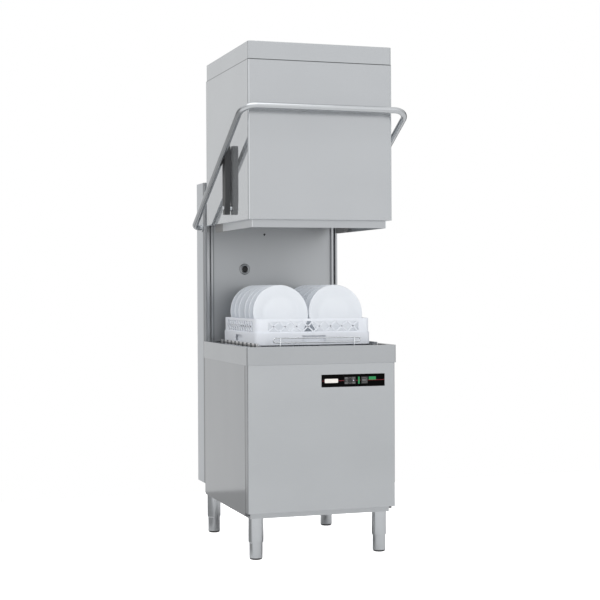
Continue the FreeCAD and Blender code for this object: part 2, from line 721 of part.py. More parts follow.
def wash_tub():
    """Deep tub of folded sheet, welded under the tray."""
    shell = rounded_box(-TUB_HALF_WIDTH, TUB_HALF_WIDTH, TUB_FRONT, TUB_BACK, TUB_BOTTOM, TANK_FLOOR,
                        TUB_CORNER + SHEET, "z").cut(tub_space())
    for x, y, radius in ((0, AXIS_Y, SPINDLE_RADIUS), (SUCTION_X, SUCTION_Y, SUCTION_RADIUS),
                         (OVERFLOW_X, OVERFLOW_Y, OVERFLOW_RADIUS)):
        shell = shell.cut(rod(radius, (x, y, TUB_BOTTOM - 1), (x, y, TUB_BOTTOM + SHEET + 1)))
    for y in HEATER_LEGS:
        shell = shell.cut(rod(HEATER_RADIUS, (TUB_HALF_WIDTH - 2 * SHEET, y, HEATER_Z),
                              (TUB_HALF_WIDTH + 1, y, HEATER_Z)))
    return shell


def overflow_pipe():
    """Lift-out standpipe: tube, sealing collar on the tub's floor and a cross grip in its mouth."""
    floor = TUB_BOTTOM + SHEET
    at = (OVERFLOW_X, OVERFLOW_Y)
    bore = OVERFLOW_RADIUS - OVERFLOW_WALL
    seat = floor + OVERFLOW_COLLAR
    tube = pipe(OVERFLOW_RADIUS, bore, (*at, seat), (*at, OVERFLOW_TOP))
    collar = pipe(OVERFLOW_RADIUS + OVERFLOW_COLLAR, bore, (*at, floor), (*at, seat))
    reach = OVERFLOW_RADIUS - OVERFLOW_WALL / 2
    grip_z = OVERFLOW_TOP - 3 * OVERFLOW_GRIP
    grip = rod(OVERFLOW_GRIP, (OVERFLOW_X - reach, OVERFLOW_Y, grip_z), (OVERFLOW_X + reach, OVERFLOW_Y, grip_z))
    return fused([tube, collar, grip])


def sump_strainer():
    """Slotted cup over the suction outlet."""
    floor = TUB_BOTTOM + SHEET
    at = (SUCTION_X, SUCTION_Y)
    radius, lid_z = STRAINER_RADIUS, floor + STRAINER_HEIGHT
    wall = pipe(radius, radius - STRAINER_SHEET, (*at, floor), (*at, lid_z))
    lid = rod(radius, (*at, lid_z), (*at, lid_z + STRAINER_SHEET))
    slots = []
    for turn in range(STRAINER_SLOTS):
        slot = box(SUCTION_X - radius - 1, SUCTION_X + radius + 1, SUCTION_Y - STRAINER_SLOT / 2,
                   SUCTION_Y + STRAINER_SLOT / 2, floor + STRAINER_EDGE, lid_z - STRAINER_EDGE)
        slot.rotate(Vector(*at, 0), Vector(0, 0, 1), turn * 180.0 / STRAINER_SLOTS)
        slots.append(slot)
    return fused([wall, lid]).cut(slots[0].fuse(slots[1:]))


def filter_trays():
    """Two slotted scrap trays that lie over the tub, one each side of the spray column."""
    z = TANK_FLOOR + SHEET
    left = SPINDLE_RADIUS + FILTER_COLUMN_GAP
    right = TUB_HALF_WIDTH + FILTER_OVERLAP
    front, back = TUB_FRONT - FILTER_OVERLAP, OVERFLOW_Y - OVERFLOW_RADIUS - FILTER_BACK_GAP
    sheet = box(left, right, front, back, z, z + FILTER_SHEET)
    slots = []
    for column in range(FILTER_SLOTS):
        x = left + FILTER_MARGIN + column * FILTER_PITCH
        slots.append(box(x, x + FILTER_SLOT, front + FILTER_END, back - FILTER_END, z - 1, z + FILTER_SHEET + 1))
    sheet = sheet.cut(slots[0].fuse(slots[1:]))
    ribs = [box(left, right, y - FILTER_RIB / 2, y + FILTER_RIB / 2, z, z + FILTER_SHEET)
            for y in (front + (back - front) * quarter / 4 for quarter in (1, 2, 3))]
    return both_sides(fused([sheet] + ribs))


def tank_heater():
    """Hairpin element above the tub's floor, on a flange outside the right-hand wall."""
    wall, z = TUB_HALF_WIDTH, HEATER_Z
    y0, y1 = HEATER_LEGS
    far = HEATER_FAR_SET - wall
    element = bent_rod([(wall, y0, z), (far, y0, z), (far, y1, z), (wall, y1, z)], (HEATER_BEND,) * 2, HEATER_RADIUS)
    seat = wall + HEATER_FLANGE
    flange = box(wall, seat, y0 - HEATER_FLANGE_OVER, y1 + HEATER_FLANGE_OVER,
                 z - HEATER_FLANGE_HALF, z + HEATER_FLANGE_HALF)
    cap = box(seat, seat + HEATER_CAP, y0 - HEATER_CAP_OVER, y1 + HEATER_CAP_OVER,
              z - HEATER_CAP_HALF, z + HEATER_CAP_HALF)
    return fused([element, flange, cap])


# ---- spray pipes and arms --------------------------------------------------
def spray_arm(z, bore, hub_radius, reach, half_width, thick, lift):
    """Rotor: bored hub with two flattened blades, nozzles on one face."""
    at = (0, AXIS_Y)
    hub = pipe(hub_radius, bore + RUNNING, (*at, z), (*at, z + HUB_HEIGHT))
    mid = z + HUB_HEIGHT / 2
    blade = rounded_box(hub_radius - ARM_SINK, reach, AXIS_Y - half_width, AXIS_Y + half_width,
                        mid - thick / 2, mid + thick / 2, thick * ARM_ROUND_SHARE, "x")
    face = mid + (thick / 2 if lift > 0 else -thick / 2)
    nozzles = []
    for step in range(NOZZLES):
        x = hub_radius + NOZZLE_START + step * (reach - hub_radius - NOZZLE_START - NOZZLE_END) / (NOZZLES - 1)
        side = half_width * NOZZLE_STAGGER_SHARE * (-1) ** step
        nozzles.append(rod(NOZZLE_RADIUS, (x, AXIS_Y + side, face - lift), (x, AXIS_Y + side, face + lift * 2)))
    wing = fused([blade] + nozzles)
    other = wing.copy()
    other.rotate(Vector(*at, 0), Vector(0, 0, 1), 180)
    return fused([hub, wing, other])


def lower_standpipe():
    at = (0, AXIS_Y)
    stem_top = LOWER_RINSE_Z + HUB_HEIGHT + HUB_GAP
    wide = pipe(SPINDLE_RADIUS, SPINDLE_BORE, (*at, STANDPIPE_FOOT), (*at, LOWER_RINSE_Z - HUB_GAP))
    seat = pipe(HUB_RADIUS - SEAT_INSET, SPINDLE_RADIUS - 1, (*at, LOWER_WASH_Z - HUB_SEAT),
                (*at, LOWER_WASH_Z - HUB_GAP))
    stem = pipe(RINSE_SPINDLE, SPINDLE_BORE, (*at, LOWER_RINSE_Z - HUB_GAP), (*at, stem_top))
    nut = rod(RINSE_SPINDLE + SPINDLE_NUT_OVER, (*at, stem_top), (*at, stem_top + SPINDLE_NUT))
    return fused([wide, seat, stem, nut])


def wash_riser():
    """Riser in the column, bent forward over the tank and ending in the upper spindle."""
    end_y = AXIS_Y - RISER_OVERRUN
    riser = bent_pipe([(0, RISER_Y, RISER_FOOT), (0, RISER_Y, UPPER_PIPE_Z), (0, end_y, UPPER_PIPE_Z)],
                      (RISER_BEND,), RISER_RADIUS, RISER_RADIUS - RISER_WALL)
    plug = rod(RISER_RADIUS, (0, end_y - 2 * RISER_WALL, UPPER_PIPE_Z), (0, end_y + RISER_WALL, UPPER_PIPE_Z))
    at = (0, AXIS_Y)
    stem_bottom = UPPER_RINSE_Z - HUB_GAP
    rinse_seat = UPPER_RINSE_Z + HUB_HEIGHT + HUB_GAP
    inside_pipe = UPPER_PIPE_Z - RISER_RADIUS / 2
    wide = pipe(SPINDLE_RADIUS, SPINDLE_BORE, (*at, rinse_seat), (*at, inside_pipe))
    seat = pipe(HUB_RADIUS - SEAT_INSET, SPINDLE_RADIUS - 1, (*at, UPPER_WASH_Z + HUB_HEIGHT + HUB_GAP),
                (*at, inside_pipe))
    stem = pipe(RINSE_SPINDLE, SPINDLE_BORE, (*at, stem_bottom), (*at, rinse_seat))
    nut = rod(RINSE_SPINDLE + SPINDLE_NUT_OVER, (*at, stem_bottom - SPINDLE_NUT), (*at, stem_bottom))
    hollow = rod(RISER_RADIUS - RISER_WALL, (0, end_y + RISER_WALL, UPPER_PIPE_Z),
                 (0, AXIS_Y + 2 * HUB_RADIUS, UPPER_PIPE_Z))
    return fused([riser, plug, wide.fuse(seat).cut(hollow), stem, nut])


# ---- machinery in the base -------------------------------------------------
def pump_volute():
    """Volute with its inlet neck to the right and its outlet neck on top."""
    x0, x1 = PUMP_X, PUMP_X + VOLUTE_WIDTH
    mid = (x0 + x1) / 2
    inlet_x, outlet_z = x1 + VOLUTE_INLET, PUMP_Z + VOLUTE_RADIUS + VOLUTE_OUTLET
    case = rod(VOLUTE_RADIUS, (x0, AXIS_Y, PUMP_Z), (x1, AXIS_Y, PUMP_Z))
    inlet = rod(SUCTION_RADIUS + SUCTION_WALL, (x1, AXIS_Y, PUMP_Z), (inlet_x, AXIS_Y, PUMP_Z))
    outlet = rod(RISER_RADIUS + PORT_WALL, (mid, AXIS_Y, PUMP_Z), (mid, AXIS_Y, outlet_z))
    feet = box(x0 + PUMP_FOOT_INSET, x1 - PUMP_FOOT_INSET, AXIS_Y - PUMP_FOOT_HALF, AXIS_Y + PUMP_FOOT_HALF,
               TRAY_TOP, PUMP_Z - PUMP_FOOT_DROP)
    chamber = rod(VOLUTE_RADIUS - VOLUTE_WALL, (x0, AXIS_Y, PUMP_Z), (x1 - VOLUTE_WALL, AXIS_Y, PUMP_Z))
    throat = rod(SUCTION_RADIUS, (x0 + VOLUTE_THROAT, AXIS_Y, PUMP_Z), (inlet_x, AXIS_Y, PUMP_Z))
    neck = rod(RISER_RADIUS - RISER_WALL, (mid, AXIS_Y, PUMP_Z), (mid, AXIS_Y, outlet_z))
    return fused([case, inlet, outlet, feet]).cut(chamber.fuse([throat, neck]))


def pump_motor():
    """Finned motor on the volute's left, with a foot and a terminal box."""
    x1, x0 = PUMP_X, PUMP_X - MOTOR_LENGTH
    can = rod(MOTOR_RADIUS, (x0, AXIS_Y, PUMP_Z), (x1, AXIS_Y, PUMP_Z))
    fins = []
    for i in range(FINS):
        fin_x = x1 - MOTOR_FOOT_INSET - FIN_PITCH * i
        fins.append(rod(MOTOR_RADIUS + FIN_DEPTH, (fin_x, AXIS_Y, PUMP_Z), (fin_x + FIN_WIDTH, AXIS_Y, PUMP_Z)))
    plinth = box(x0 + MOTOR_FOOT_INSET, x1 - MOTOR_FOOT_INSET, AXIS_Y - MOTOR_FOOT_HALF, AXIS_Y + MOTOR_FOOT_HALF,
                 TRAY_TOP, PUMP_Z - PUMP_FOOT_DROP)
    t1 = x1 - TERMINAL_SET
    t0 = t1 - TERMINAL_LENGTH
    low, high, wall = PUMP_Z + MOTOR_RADIUS - TERMINAL_SINK, PUMP_Z + MOTOR_RADIUS + TERMINAL_RISE, TERMINAL_WALL
    terminal = box(t0, t1, AXIS_Y - TERMINAL_HALF, AXIS_Y + TERMINAL_HALF, low, high)
    hollow = pipe(MOTOR_RADIUS - MOTOR_WALL, MOTOR_SHAFT, (x0 + MOTOR_WALL, AXIS_Y, PUMP_Z), (x1, AXIS_Y, PUMP_Z))
    terminal_hollow = box(t0 + wall, t1 - wall, AXIS_Y - TERMINAL_HALF + wall, AXIS_Y + TERMINAL_HALF - wall,
                          low - TERMINAL_SINK, high - wall)
    return fused([can, plinth, terminal] + fins).cut(hollow.fuse(terminal_hollow))


def suction_hose():
    inlet_x = PUMP_X + VOLUTE_WIDTH + VOLUTE_INLET
    drop_x = inlet_x + HOSE_OFFSET
    cross_z = TUB_BOTTOM - HOSE_DROP
    points = [(inlet_x, AXIS_Y, PUMP_Z), (drop_x, AXIS_Y, PUMP_Z), (drop_x, AXIS_Y, cross_z),
              (SUCTION_X, SUCTION_Y, cross_z), (SUCTION_X, SUCTION_Y, TUB_BOTTOM)]
    return bent_pipe(points, (HOSE_BEND, HOSE_BEND, HOSE_TOP_BEND), SUCTION_RADIUS + SUCTION_WALL, SUCTION_RADIUS)


def delivery_pipe():
    """From the pump's outlet to the tank's standpipe, with a branch back to the riser."""
    x = PUMP_X + VOLUTE_WIDTH / 2
    z0 = PUMP_Z + VOLUTE_RADIUS + VOLUTE_OUTLET
    z1 = z0 + DELIVERY_RISE
    bend = DELIVERY_BEND
    run = [(x, AXIS_Y, z0), (x, AXIS_Y, z1), (0, AXIS_Y, z1), (0, AXIS_Y, STANDPIPE_FOOT)]
    branch = [(0, AXIS_Y, BRANCH_Z), (0, RISER_Y, BRANCH_Z), (0, RISER_Y, RISER_FOOT)]
    outer, inner = (bent_rod(run, (bend, bend), radius).fuse(bent_rod(branch, (bend,), radius))
                    for radius in (RISER_RADIUS, RISER_RADIUS - RISER_WALL))
    return outer.cut(inner).removeSplitter()


def boiler():
    """Upright rinse heater: shell with flat ends, two feet and a flanged element at the front."""
    x, y, r, wall = BOILER_X, BOILER_Y, BOILER_RADIUS, BOILER_WALL
    z0 = TRAY_TOP + BOILER_FOOT
    z1 = z0 + BOILER_HEIGHT
    can = pipe(r, r - wall, (x, y, z0 + wall), (x, y, z1 - wall))
    ends = [rod(r, (x, y, z), (x, y, z + wall)) for z in (z0, z1 - wall)]
    outlet = rod(RINSE_PIPE_RADIUS - RINSE_PIPE_WALL, (x, y, z1 - 2 * wall), (x, y, z1 + wall))
    feet = [box(x - BOILER_FOOT_X, x + BOILER_FOOT_X, y + set_y - BOILER_FOOT_HALF, y + set_y + BOILER_FOOT_HALF,
                TRAY_TOP, z0) for set_y in (-BOILER_FOOT_Y, BOILER_FOOT_Y)]
    flange_z = z0 + BOILER_FLANGE_RISE
    front = y - r - BOILER_FLANGE_THICK
    flange = rod(BOILER_FLANGE, (x, front, flange_z), (x, y - r + BOILER_LAP, flange_z))
    cap = rod(BOILER_CAP, (x, front - BOILER_CAP, flange_z), (x, front, flange_z))
    return fused([can, flange, cap] + ends + feet).cut(outlet)


def rinse_pipe():
    """Hot rinse feed from the boiler's top up the column, over the wash pipe to the spray axis."""
    z0 = TRAY_TOP + BOILER_FOOT + BOILER_HEIGHT
    z1 = z0 + RINSE_RISE
    x, up = RINSE_PIPE_X, RINSE_PIPE_Z
    points = [(BOILER_X, BOILER_Y, z0), (BOILER_X, BOILER_Y, z1), (BOILER_X, RISER_Y, z1),
              (x, RISER_Y, z1), (x, RISER_Y, up), (x, AXIS_Y, up), (0, AXIS_Y, up)]
    bends = (RINSE_FIRST_BEND,) + (RINSE_BEND,) * 4
    return bent_pipe(points, bends, RINSE_PIPE_RADIUS, RINSE_PIPE_RADIUS - RINSE_PIPE_WALL)


def floor_union(x, shank, radius, length, bore):
    """Hose connection under the column: shank through the floor, clamping collar and spigot."""
    at = (x, CONNECT_Y)
    collar_z = CASING_BOTTOM - UNION_THICK
    through = pipe(shank, bore, (*at, CASING_BOTTOM), (*at, CASING_BOTTOM + SHEET))
    collar = pipe(UNION_RADIUS, bore, (*at, collar_z), (*at, CASING_BOTTOM))
    spigot = pipe(radius, bore, (*at, collar_z - length), (*at, collar_z))
    return [through, collar, spigot]


def inlet_valve():
    """Water valve in the column's floor, its threaded inlet pointing down."""
    x, y, z = INLET_X, CONNECT_Y, CASING_BOTTOM + SHEET
    body = box(x - VALVE_HALF, x + VALVE_HALF, y - VALVE_HALF, y + VALVE_HALF, z, z + VALVE_HEIGHT)
    coil = rod(COIL_RADIUS, (x, y, z + VALVE_HEIGHT), (x, y, z + VALVE_HEIGHT + COIL_HEIGHT))
    return fused([body, coil] + floor_union(x, INLET_SHANK, INLET_RADIUS, INLET_LENGTH, INLET_BORE))


def drain_pump():
    x, y, z = DRAIN_X, CONNECT_Y, CASING_BOTTOM + SHEET
    case = rod(DRAIN_CASE_RADIUS, (x, y, z), (x, y, z + DRAIN_CASE_HEIGHT))
    motor = rod(DRAIN_MOTOR_RADIUS, (x, y, z + DRAIN_CASE_HEIGHT), (x, y, z + DRAIN_CASE_HEIGHT + DRAIN_MOTOR_HEIGHT))
    return fused([case, motor] + floor_union(x, DRAIN_SHANK, DRAIN_RADIUS, DRAIN_LENGTH, DRAIN_BORE))


def cable_gland():
    at = (GLAND_X, CONNECT_Y)
    low, high = CASING_BOTTOM - GLAND_LENGTH, CASING_BOTTOM + SHEET + GLAND_NUT_THICK
    dome = rod(GLAND_DOME, (*at, low), (*at, CASING_BOTTOM))
    thread = rod(GLAND_THREAD, (*at, CASING_BOTTOM), (*at, CASING_BOTTOM + SHEET))
    nut = rod(GLAND_NUT, (*at, CASING_BOTTOM + SHEET), (*at, high))
    bore = rod(GLAND_BORE, (*at, low - 1), (*at, high + 1))
    return fused([dome, thread, nut]).cut(bore)


def dosing_pumps():
    """Two peristaltic pumps on the inside of the front panel."""
    pumps = []
    y0 = PANEL_SETBACK + SHEET
    y1 = y0 + DOSER_BODY
    for x in DOSER_X:
        body = box(x - DOSER_HALF, x + DOSER_HALF, y0, y1, DOSER_Z - DOSER_BODY, DOSER_Z + DOSER_BODY)
        head = rod(DOSER_HEAD, (x, y1, DOSER_Z), (x, y1 + DOSER_HEAD_DEPTH, DOSER_Z))
        pumps.append(fused([body, head]))
    return Part.makeCompound(pumps)


# ---- control panel ---------------------------------------------------------
def fascia_cell(centre_x, half_width, half_height, y0, y1, rise=0.0):
    """Block on the panel's mid-height line, raised where a part sits above it."""
    z = FASCIA_MID + rise
    return box(centre_x - half_width, centre_x + half_width, y0, y1, z - half_height, z + half_height)


def window_block(front):
    return fascia_cell(WINDOW_CENTRE_X, WINDOW_WIDTH / 2, WINDOW_HEIGHT / 2, front, FASCIA_FACE + WINDOW_DEPTH,
                       WINDOW_RISE)


def light_block(front):
    return fascia_cell(LIGHT_CENTRE_X, LIGHT_WIDTH / 2, POWER_HEIGHT / 2, front, FASCIA_FACE + WINDOW_DEPTH)


def control_fascia():
    """Black panel with a step behind it that fills the front panel's cut-out."""
    back_y = FASCIA_FACE + FASCIA_DEPTH
    edge = FASCIA_EDGE + OPEN_PIVOT_GAP
    plate = rounded_box(FASCIA_LEFT, FASCIA_RIGHT, FASCIA_FACE, PANEL_SETBACK, FASCIA_BOTTOM, FASCIA_TOP,
                        FASCIA_CORNER, "y")
    back = box(FASCIA_LEFT + edge, FASCIA_RIGHT - edge, PANEL_SETBACK, back_y,
               FASCIA_BOTTOM + edge, FASCIA_TOP - edge)
    front, deep = FASCIA_FACE - 1, back_y + 1
    cuts = [rod(BUTTON_RADIUS + BUTTON_WELL, (BEZEL_CENTRE_X, front, FASCIA_MID), (BEZEL_CENTRE_X, deep, FASCIA_MID)),
            fascia_cell(BEZEL_CENTRE_X, BEZEL_SIZE / 2, POWER_HEIGHT / 2, front, FASCIA_FACE + BEZEL_SINK),
            fascia_cell(POWER_CENTRE_X, POWER_WIDTH / 2 + BUTTON_GAP, POWER_HEIGHT / 2 + BUTTON_GAP, front, deep),
            window_block(front), light_block(front)]
    return fused([plate, back]).cut(cuts[0].fuse(cuts[1:]))


def fascia_windows():
    return Part.makeCompound([window_block(FASCIA_FACE), light_block(FASCIA_FACE)])


def button_bezel():
    half_height = POWER_HEIGHT / 2
    plate = rounded_box(BEZEL_CENTRE_X - BEZEL_SIZE / 2, BEZEL_CENTRE_X + BEZEL_SIZE / 2, FASCIA_FACE - BEZEL_PROUD,
                        FASCIA_FACE + BEZEL_SINK, FASCIA_MID - half_height, FASCIA_MID + half_height,
                        FASCIA_CORNER, "y")
    return plate.cut(rod(BUTTON_RADIUS + BUTTON_GAP, (BEZEL_CENTRE_X, FASCIA_FACE - 2, FASCIA_MID),
                         (BEZEL_CENTRE_X, FASCIA_FACE + 2, FASCIA_MID)))


def button_seat():
    """How far back a button reaches: its travel and a little more short of the control box."""
    return FASCIA_FACE + FASCIA_DEPTH - BUTTON_REST - BUTTON_TRAVEL


def program_button():
    y0 = FASCIA_FACE - BUTTON_PROUD
    cap = rod(BUTTON_RADIUS, (BEZEL_CENTRE_X, y0, FASCIA_MID), (BEZEL_CENTRE_X, button_seat(), FASCIA_MID))
    return cap.cut(Part.makeSphere(BUTTON_DISH, Vector(BEZEL_CENTRE_X, y0 - BUTTON_DISH + BUTTON_DISH_DEPTH,
                                                       FASCIA_MID)))


def power_button():
    half_width, half_height = POWER_WIDTH / 2, POWER_HEIGHT / 2
    return rounded_box(POWER_CENTRE_X - half_width, POWER_CENTRE_X + half_width, FASCIA_FACE - POWER_PROUD,
                       button_seat(), FASCIA_MID - half_height, FASCIA_MID + half_height, FASCIA_CORNER, "y")


def control_box():
    """Closed box behind the panel, held to it by a lug along its foot."""
    y0 = FASCIA_FACE + FASCIA_DEPTH
    inset, low = CONTROL_BOX_INSET, FASCIA_BOTTOM - CONTROL_BOX_DROP
    outer = box(FASCIA_LEFT + inset, FASCIA_RIGHT - inset, y0, y0 + CONTROL_BOX_DEPTH, low, FASCIA_TOP - inset)
    lug = box(FASCIA_LEFT + CONTROL_LUG_INSET, FASCIA_RIGHT - CONTROL_LUG_INSET, PANEL_SETBACK + SHEET, y0,
              low + FASCIA_EDGE, low + FASCIA_EDGE + CONTROL_LUG_HEIGHT)
    return fused([outer, lug])


# ---- column: posts, back wall, casing --------------------------------------
def guide_posts():
    """C-channels open to the front; the hood's shoes run in them."""
    outer = box(POST_INNER, POST_OUTER, POST_FRONT, CASING_FRONT, DECK_TOP, CASING_TOP)
    groove = box(POST_INNER + POST_WALL, POST_OUTER - POST_WALL, POST_FRONT + POST_WALL,
                 CASING_FRONT - POST_WALL, DECK_TOP - 1, CASING_TOP + 1)
    slot = box(POST_MID - POST_SLOT / 2, POST_MID + POST_SLOT / 2, POST_FRONT - 1, CASING_FRONT - POST_WALL,
               DECK_TOP - 1, CASING_TOP + 1)
    return both_sides(outer.cut(groove).cut(slot))


def pipe_holes(y0, y1):
    return [rod(RISER_RADIUS, (0, y0, UPPER_PIPE_Z), (0, y1, UPPER_PIPE_Z)),
            rod(RINSE_PIPE_RADIUS, (RINSE_PIPE_X, y0, RINSE_PIPE_Z), (RINSE_PIPE_X, y1, RINSE_PIPE_Z))]


def back_wall():
    y = CASING_FRONT - BACK_WALL_SET
    sheet = box(-POST_INNER, POST_INNER, y, y + BACK_WALL_SHEET, DECK_TOP, CASING_TOP)
    flanges = [box(-POST_INNER, POST_INNER, y + BACK_WALL_SHEET, CASING_FRONT, z, z + BACK_WALL_SHEET)
               for z in (DECK_TOP, CASING_TOP - BACK_WALL_SHEET)]
    beyond = y + BACK_WALL_SHEET + 1
    holes = [rod(PORT_BORE + PORT_WALL, (PORT_X, y - 1, PORT_Z), (PORT_X, beyond, PORT_Z)),
             rod(VENT_RADIUS, (VENT_X, y - 1, VENT_Z), (VENT_X, beyond, VENT_Z))]
    holes += pipe_holes(y - 1, CASING_FRONT + 1)
    return fused([sheet] + flanges).cut(holes[0].fuse(holes[1:]))


def port_fitting():
    """Flanged ring in the back wall with a plug in its bore."""
    y = CASING_FRONT - BACK_WALL_SET
    face = y - PORT_FLANGE
    flange = rod(PORT_RADIUS, (PORT_X, face, PORT_Z), (PORT_X, y, PORT_Z))
    barrel = rod(PORT_BORE + PORT_WALL, (PORT_X, y, PORT_Z), (PORT_X, y + PORT_BARREL, PORT_Z))
    plug = rod(PORT_BORE, (PORT_X, face - PORT_PLUG, PORT_Z), (PORT_X, face, PORT_Z))
    return fused([flange, barrel, plug])


def rear_casing():
    """Folded column, open at the back, with lips for its cover and an anchor for each spring."""
    half, z0, z1 = CASING_HALF_WIDTH, CASING_BOTTOM, CASING_TOP
    outer = rounded_box(-half, half, CASING_FRONT, CASING_BACK + CASING_LIP, z0, z1, CASING_CORNER, "z")
    inside = box(-half + SHEET, half - SHEET, CASING_FRONT + SHEET, CASING_BACK + 2 * CASING_LIP,
                 z0 + SHEET, z1 - SHEET)
    beyond = box(-half - 1, half + 1, CASING_BACK - SHEET, CASING_BACK + 2 * CASING_LIP, z0 - 1, z1 + 1)
    shell = outer.cut(inside).cut(beyond)
    lips = [box(x0, x1, CASING_BACK - 2 * SHEET, CASING_BACK - SHEET, z0 + SHEET, z1 - SHEET)
            for x0, x1 in ((-half + SHEET, -half + CASING_LIP), (half - CASING_LIP, half - SHEET))]
    anchors = [box(x - ANCHOR_HALF, x + ANCHOR_HALF, CASING_FRONT + SHEET, PIVOT_Y + LEVER_LENGTH + SPRING_RADIUS,
                   SPRING_BOTTOM - ANCHOR_THICK, SPRING_BOTTOM) for x in (-SPRING_X, SPRING_X)]
    cuts = pipe_holes(CASING_FRONT - 1, CASING_FRONT + SHEET + 1)
    cuts += [rod(radius, (x, CONNECT_Y, z0 - 1), (x, CONNECT_Y, z0 + SHEET + 1))
             for x, radius in ((INLET_X, INLET_SHANK), (DRAIN_X, DRAIN_SHANK), (GLAND_X, GLAND_THREAD))]
    cuts += [rod(BUSH_RADIUS, (-half - 1, PIVOT_Y, PIVOT_Z), (half + 1, PIVOT_Y, PIVOT_Z)),
             box(-half + CASING_WINDOW_SIDE, half - CASING_WINDOW_SIDE, CASING_FRONT - 1, CASING_FRONT + SHEET + 1,
                 z0 + CASING_WINDOW_END, APRON_BOTTOM - CASING_WINDOW_END)]
    return fused([shell] + lips + anchors).cut(cuts[0].fuse(cuts[1:]))


def rear_cover():
    half = CASING_HALF_WIDTH
    plate = box(-half, half, CASING_BACK - SHEET, CASING_BACK, CASING_BOTTOM, CASING_TOP)
    vents = []
    for row in range(LOUVRES):
        z = CASING_BOTTOM + LOUVRE_RISE + row * LOUVRE_PITCH
        vents.append(rounded_box(-LOUVRE_HALF, LOUVRE_HALF, CASING_BACK - SHEET - 1, CASING_BACK + 1,
                                 z, z + LOUVRE_HEIGHT, LOUVRE_HEIGHT * 0.4, "y"))
    return plate.cut(vents[0].fuse(vents[1:]))


def cover_screws():
    heads = []
    pitch = (CASING_TOP - CASING_BOTTOM - 2 * SCREW_END) / (SCREWS_A_SIDE - 1)
    for x in (SCREW_EDGE - CASING_HALF_WIDTH, CASING_HALF_WIDTH - SCREW_EDGE):
        for step in range(SCREWS_A_SIDE):
            z = CASING_BOTTOM + SCREW_END + step * pitch
            heads.append(rod(SCREW_RADIUS, (x, CASING_BACK, z), (x, CASING_BACK + SCREW_HEAD, z)))
    return Part.makeCompound(heads)


# ---- hood ------------------------------------------------------------------
def hood_shell():
    half = HOOD_HALF_WIDTH
    outer = rounded_box(-half, half, HOOD_FRONT, HOOD_BACK + RUNOUT, HOOD_BOTTOM, HOOD_SEAM - SEAM, HOOD_CORNER, "z")
    inside = rounded_box(-half + SHEET, half - SHEET, HOOD_FRONT + SHEET, HOOD_BACK + 2 * RUNOUT,
                         HOOD_BOTTOM - 1, HOOD_SEAM, HOOD_CORNER - SHEET, "z")
    behind = box(-half - 1, half + 1, HOOD_BACK, HOOD_BACK + 2 * RUNOUT, HOOD_BOTTOM - 1, HOOD_SEAM + 1)
    returns = box(LIP_HALF, half - SHEET, HOOD_BACK - SHEET, HOOD_BACK, HOOD_BOTTOM + SHEET, HOOD_SEAM - SEAM)
    return fused([outer.cut(inside).cut(behind), returns, mirrored(returns)])


def hood_cap():
    half = HOOD_HALF_WIDTH - CAP_INSET
    outer = rounded_box(-half, half, HOOD_FRONT, HOOD_BACK, HOOD_SEAM, HOOD_TOP, HOOD_CORNER, "z")
    outer = outer.makeFillet(2 * SHEET, [e for e in outer.Edges if e.BoundBox.ZMin > HOOD_TOP - 0.01])
    inside = rounded_box(-half + SHEET, half - SHEET, HOOD_FRONT + SHEET, HOOD_BACK - SHEET,
                         HOOD_SEAM - 1, HOOD_TOP - SHEET, HOOD_CORNER - SHEET, "z")
    return outer.cut(inside)


def hood_liner():
    """Inner skin: three walls, roof, and the lip that drops inside the deck's mouth."""
    half = LIP_HALF
    back = HOOD_BACK - SHEET
    wall_bottom = HOOD_BOTTOM
    outer = box(-half, half, LIP_FRONT, back, wall_bottom, HOOD_ROOF)
    inside = box(-half + SHEET, half - SHEET, LIP_FRONT + SHEET, back + 1, wall_bottom - 1, HOOD_ROOF - SHEET)
    lip = box(-half, half, LIP_FRONT, LIP_SIDE_END, LIP_BOTTOM, wall_bottom)
    lip_inside = box(-half + SHEET, half - SHEET, LIP_FRONT + SHEET, LIP_SIDE_END + 1, LIP_BOTTOM - 1,
                     wall_bottom + 1)
    rim_half = HOOD_HALF_WIDTH - SHEET
    rim_front = HOOD_FRONT + SHEET
    rim = rounded_box(-rim_half, rim_half, rim_front, back + 20, wall_bottom, wall_bottom + SHEET,
                      HOOD_CORNER - SHEET, "z")
    rim = rim.cut(box(-half, half, LIP_FRONT, back + RUNOUT, wall_bottom - 1, wall_bottom + 3))
    rim = rim.cut(box(-rim_half - 1, rim_half + 1, back, back + 40, wall_bottom - 1, wall_bottom + 3))
    jambs = [box(x0, x1, back - SHEET, back, wall_bottom + SHEET, HOOD_ROOF)
             for x0, x1 in ((-half + SHEET, -POST_INNER + JAMB_LAP), (POST_INNER - JAMB_LAP, half - SHEET))]
    spacer_x = half - SPACER_INSET - SPACER_SIZE
    spacer = box(spacer_x, spacer_x + SPACER_SIZE, LIP_FRONT + SPACER_SET, LIP_FRONT + SPACER_SET + SPACER_SIZE,
                 HOOD_ROOF, HOOD_SEAM + CAP_INSET)
    return fused([outer.cut(inside), lip.cut(lip_inside), rim, spacer, mirrored(spacer)] + jambs)


def guide_shoes():
    """Four sliding blocks on the hood's back edge, each with a tongue in its post's slot."""
    shoes = []
    tongue_half = POST_SLOT / 2 - SHOE_CLEARANCE
    for z in (SHOE_LOW_Z, SHOE_HIGH_Z):
        pad = box(POST_MID - SHOE_HALF, POST_MID + SHOE_HALF, HOOD_BACK, POST_FRONT - SHOE_CLEARANCE,
                  z, z + SHOE_HEIGHT)
        tongue = box(POST_MID - tongue_half, POST_MID + tongue_half, HOOD_BACK,
                     CASING_FRONT - POST_WALL - SHOE_CLEARANCE, z, z + SHOE_HEIGHT)
        shoes.append(fused([pad, tongue]))
    return Part.makeCompound(shoes + [mirrored(shoe) for shoe in shoes])


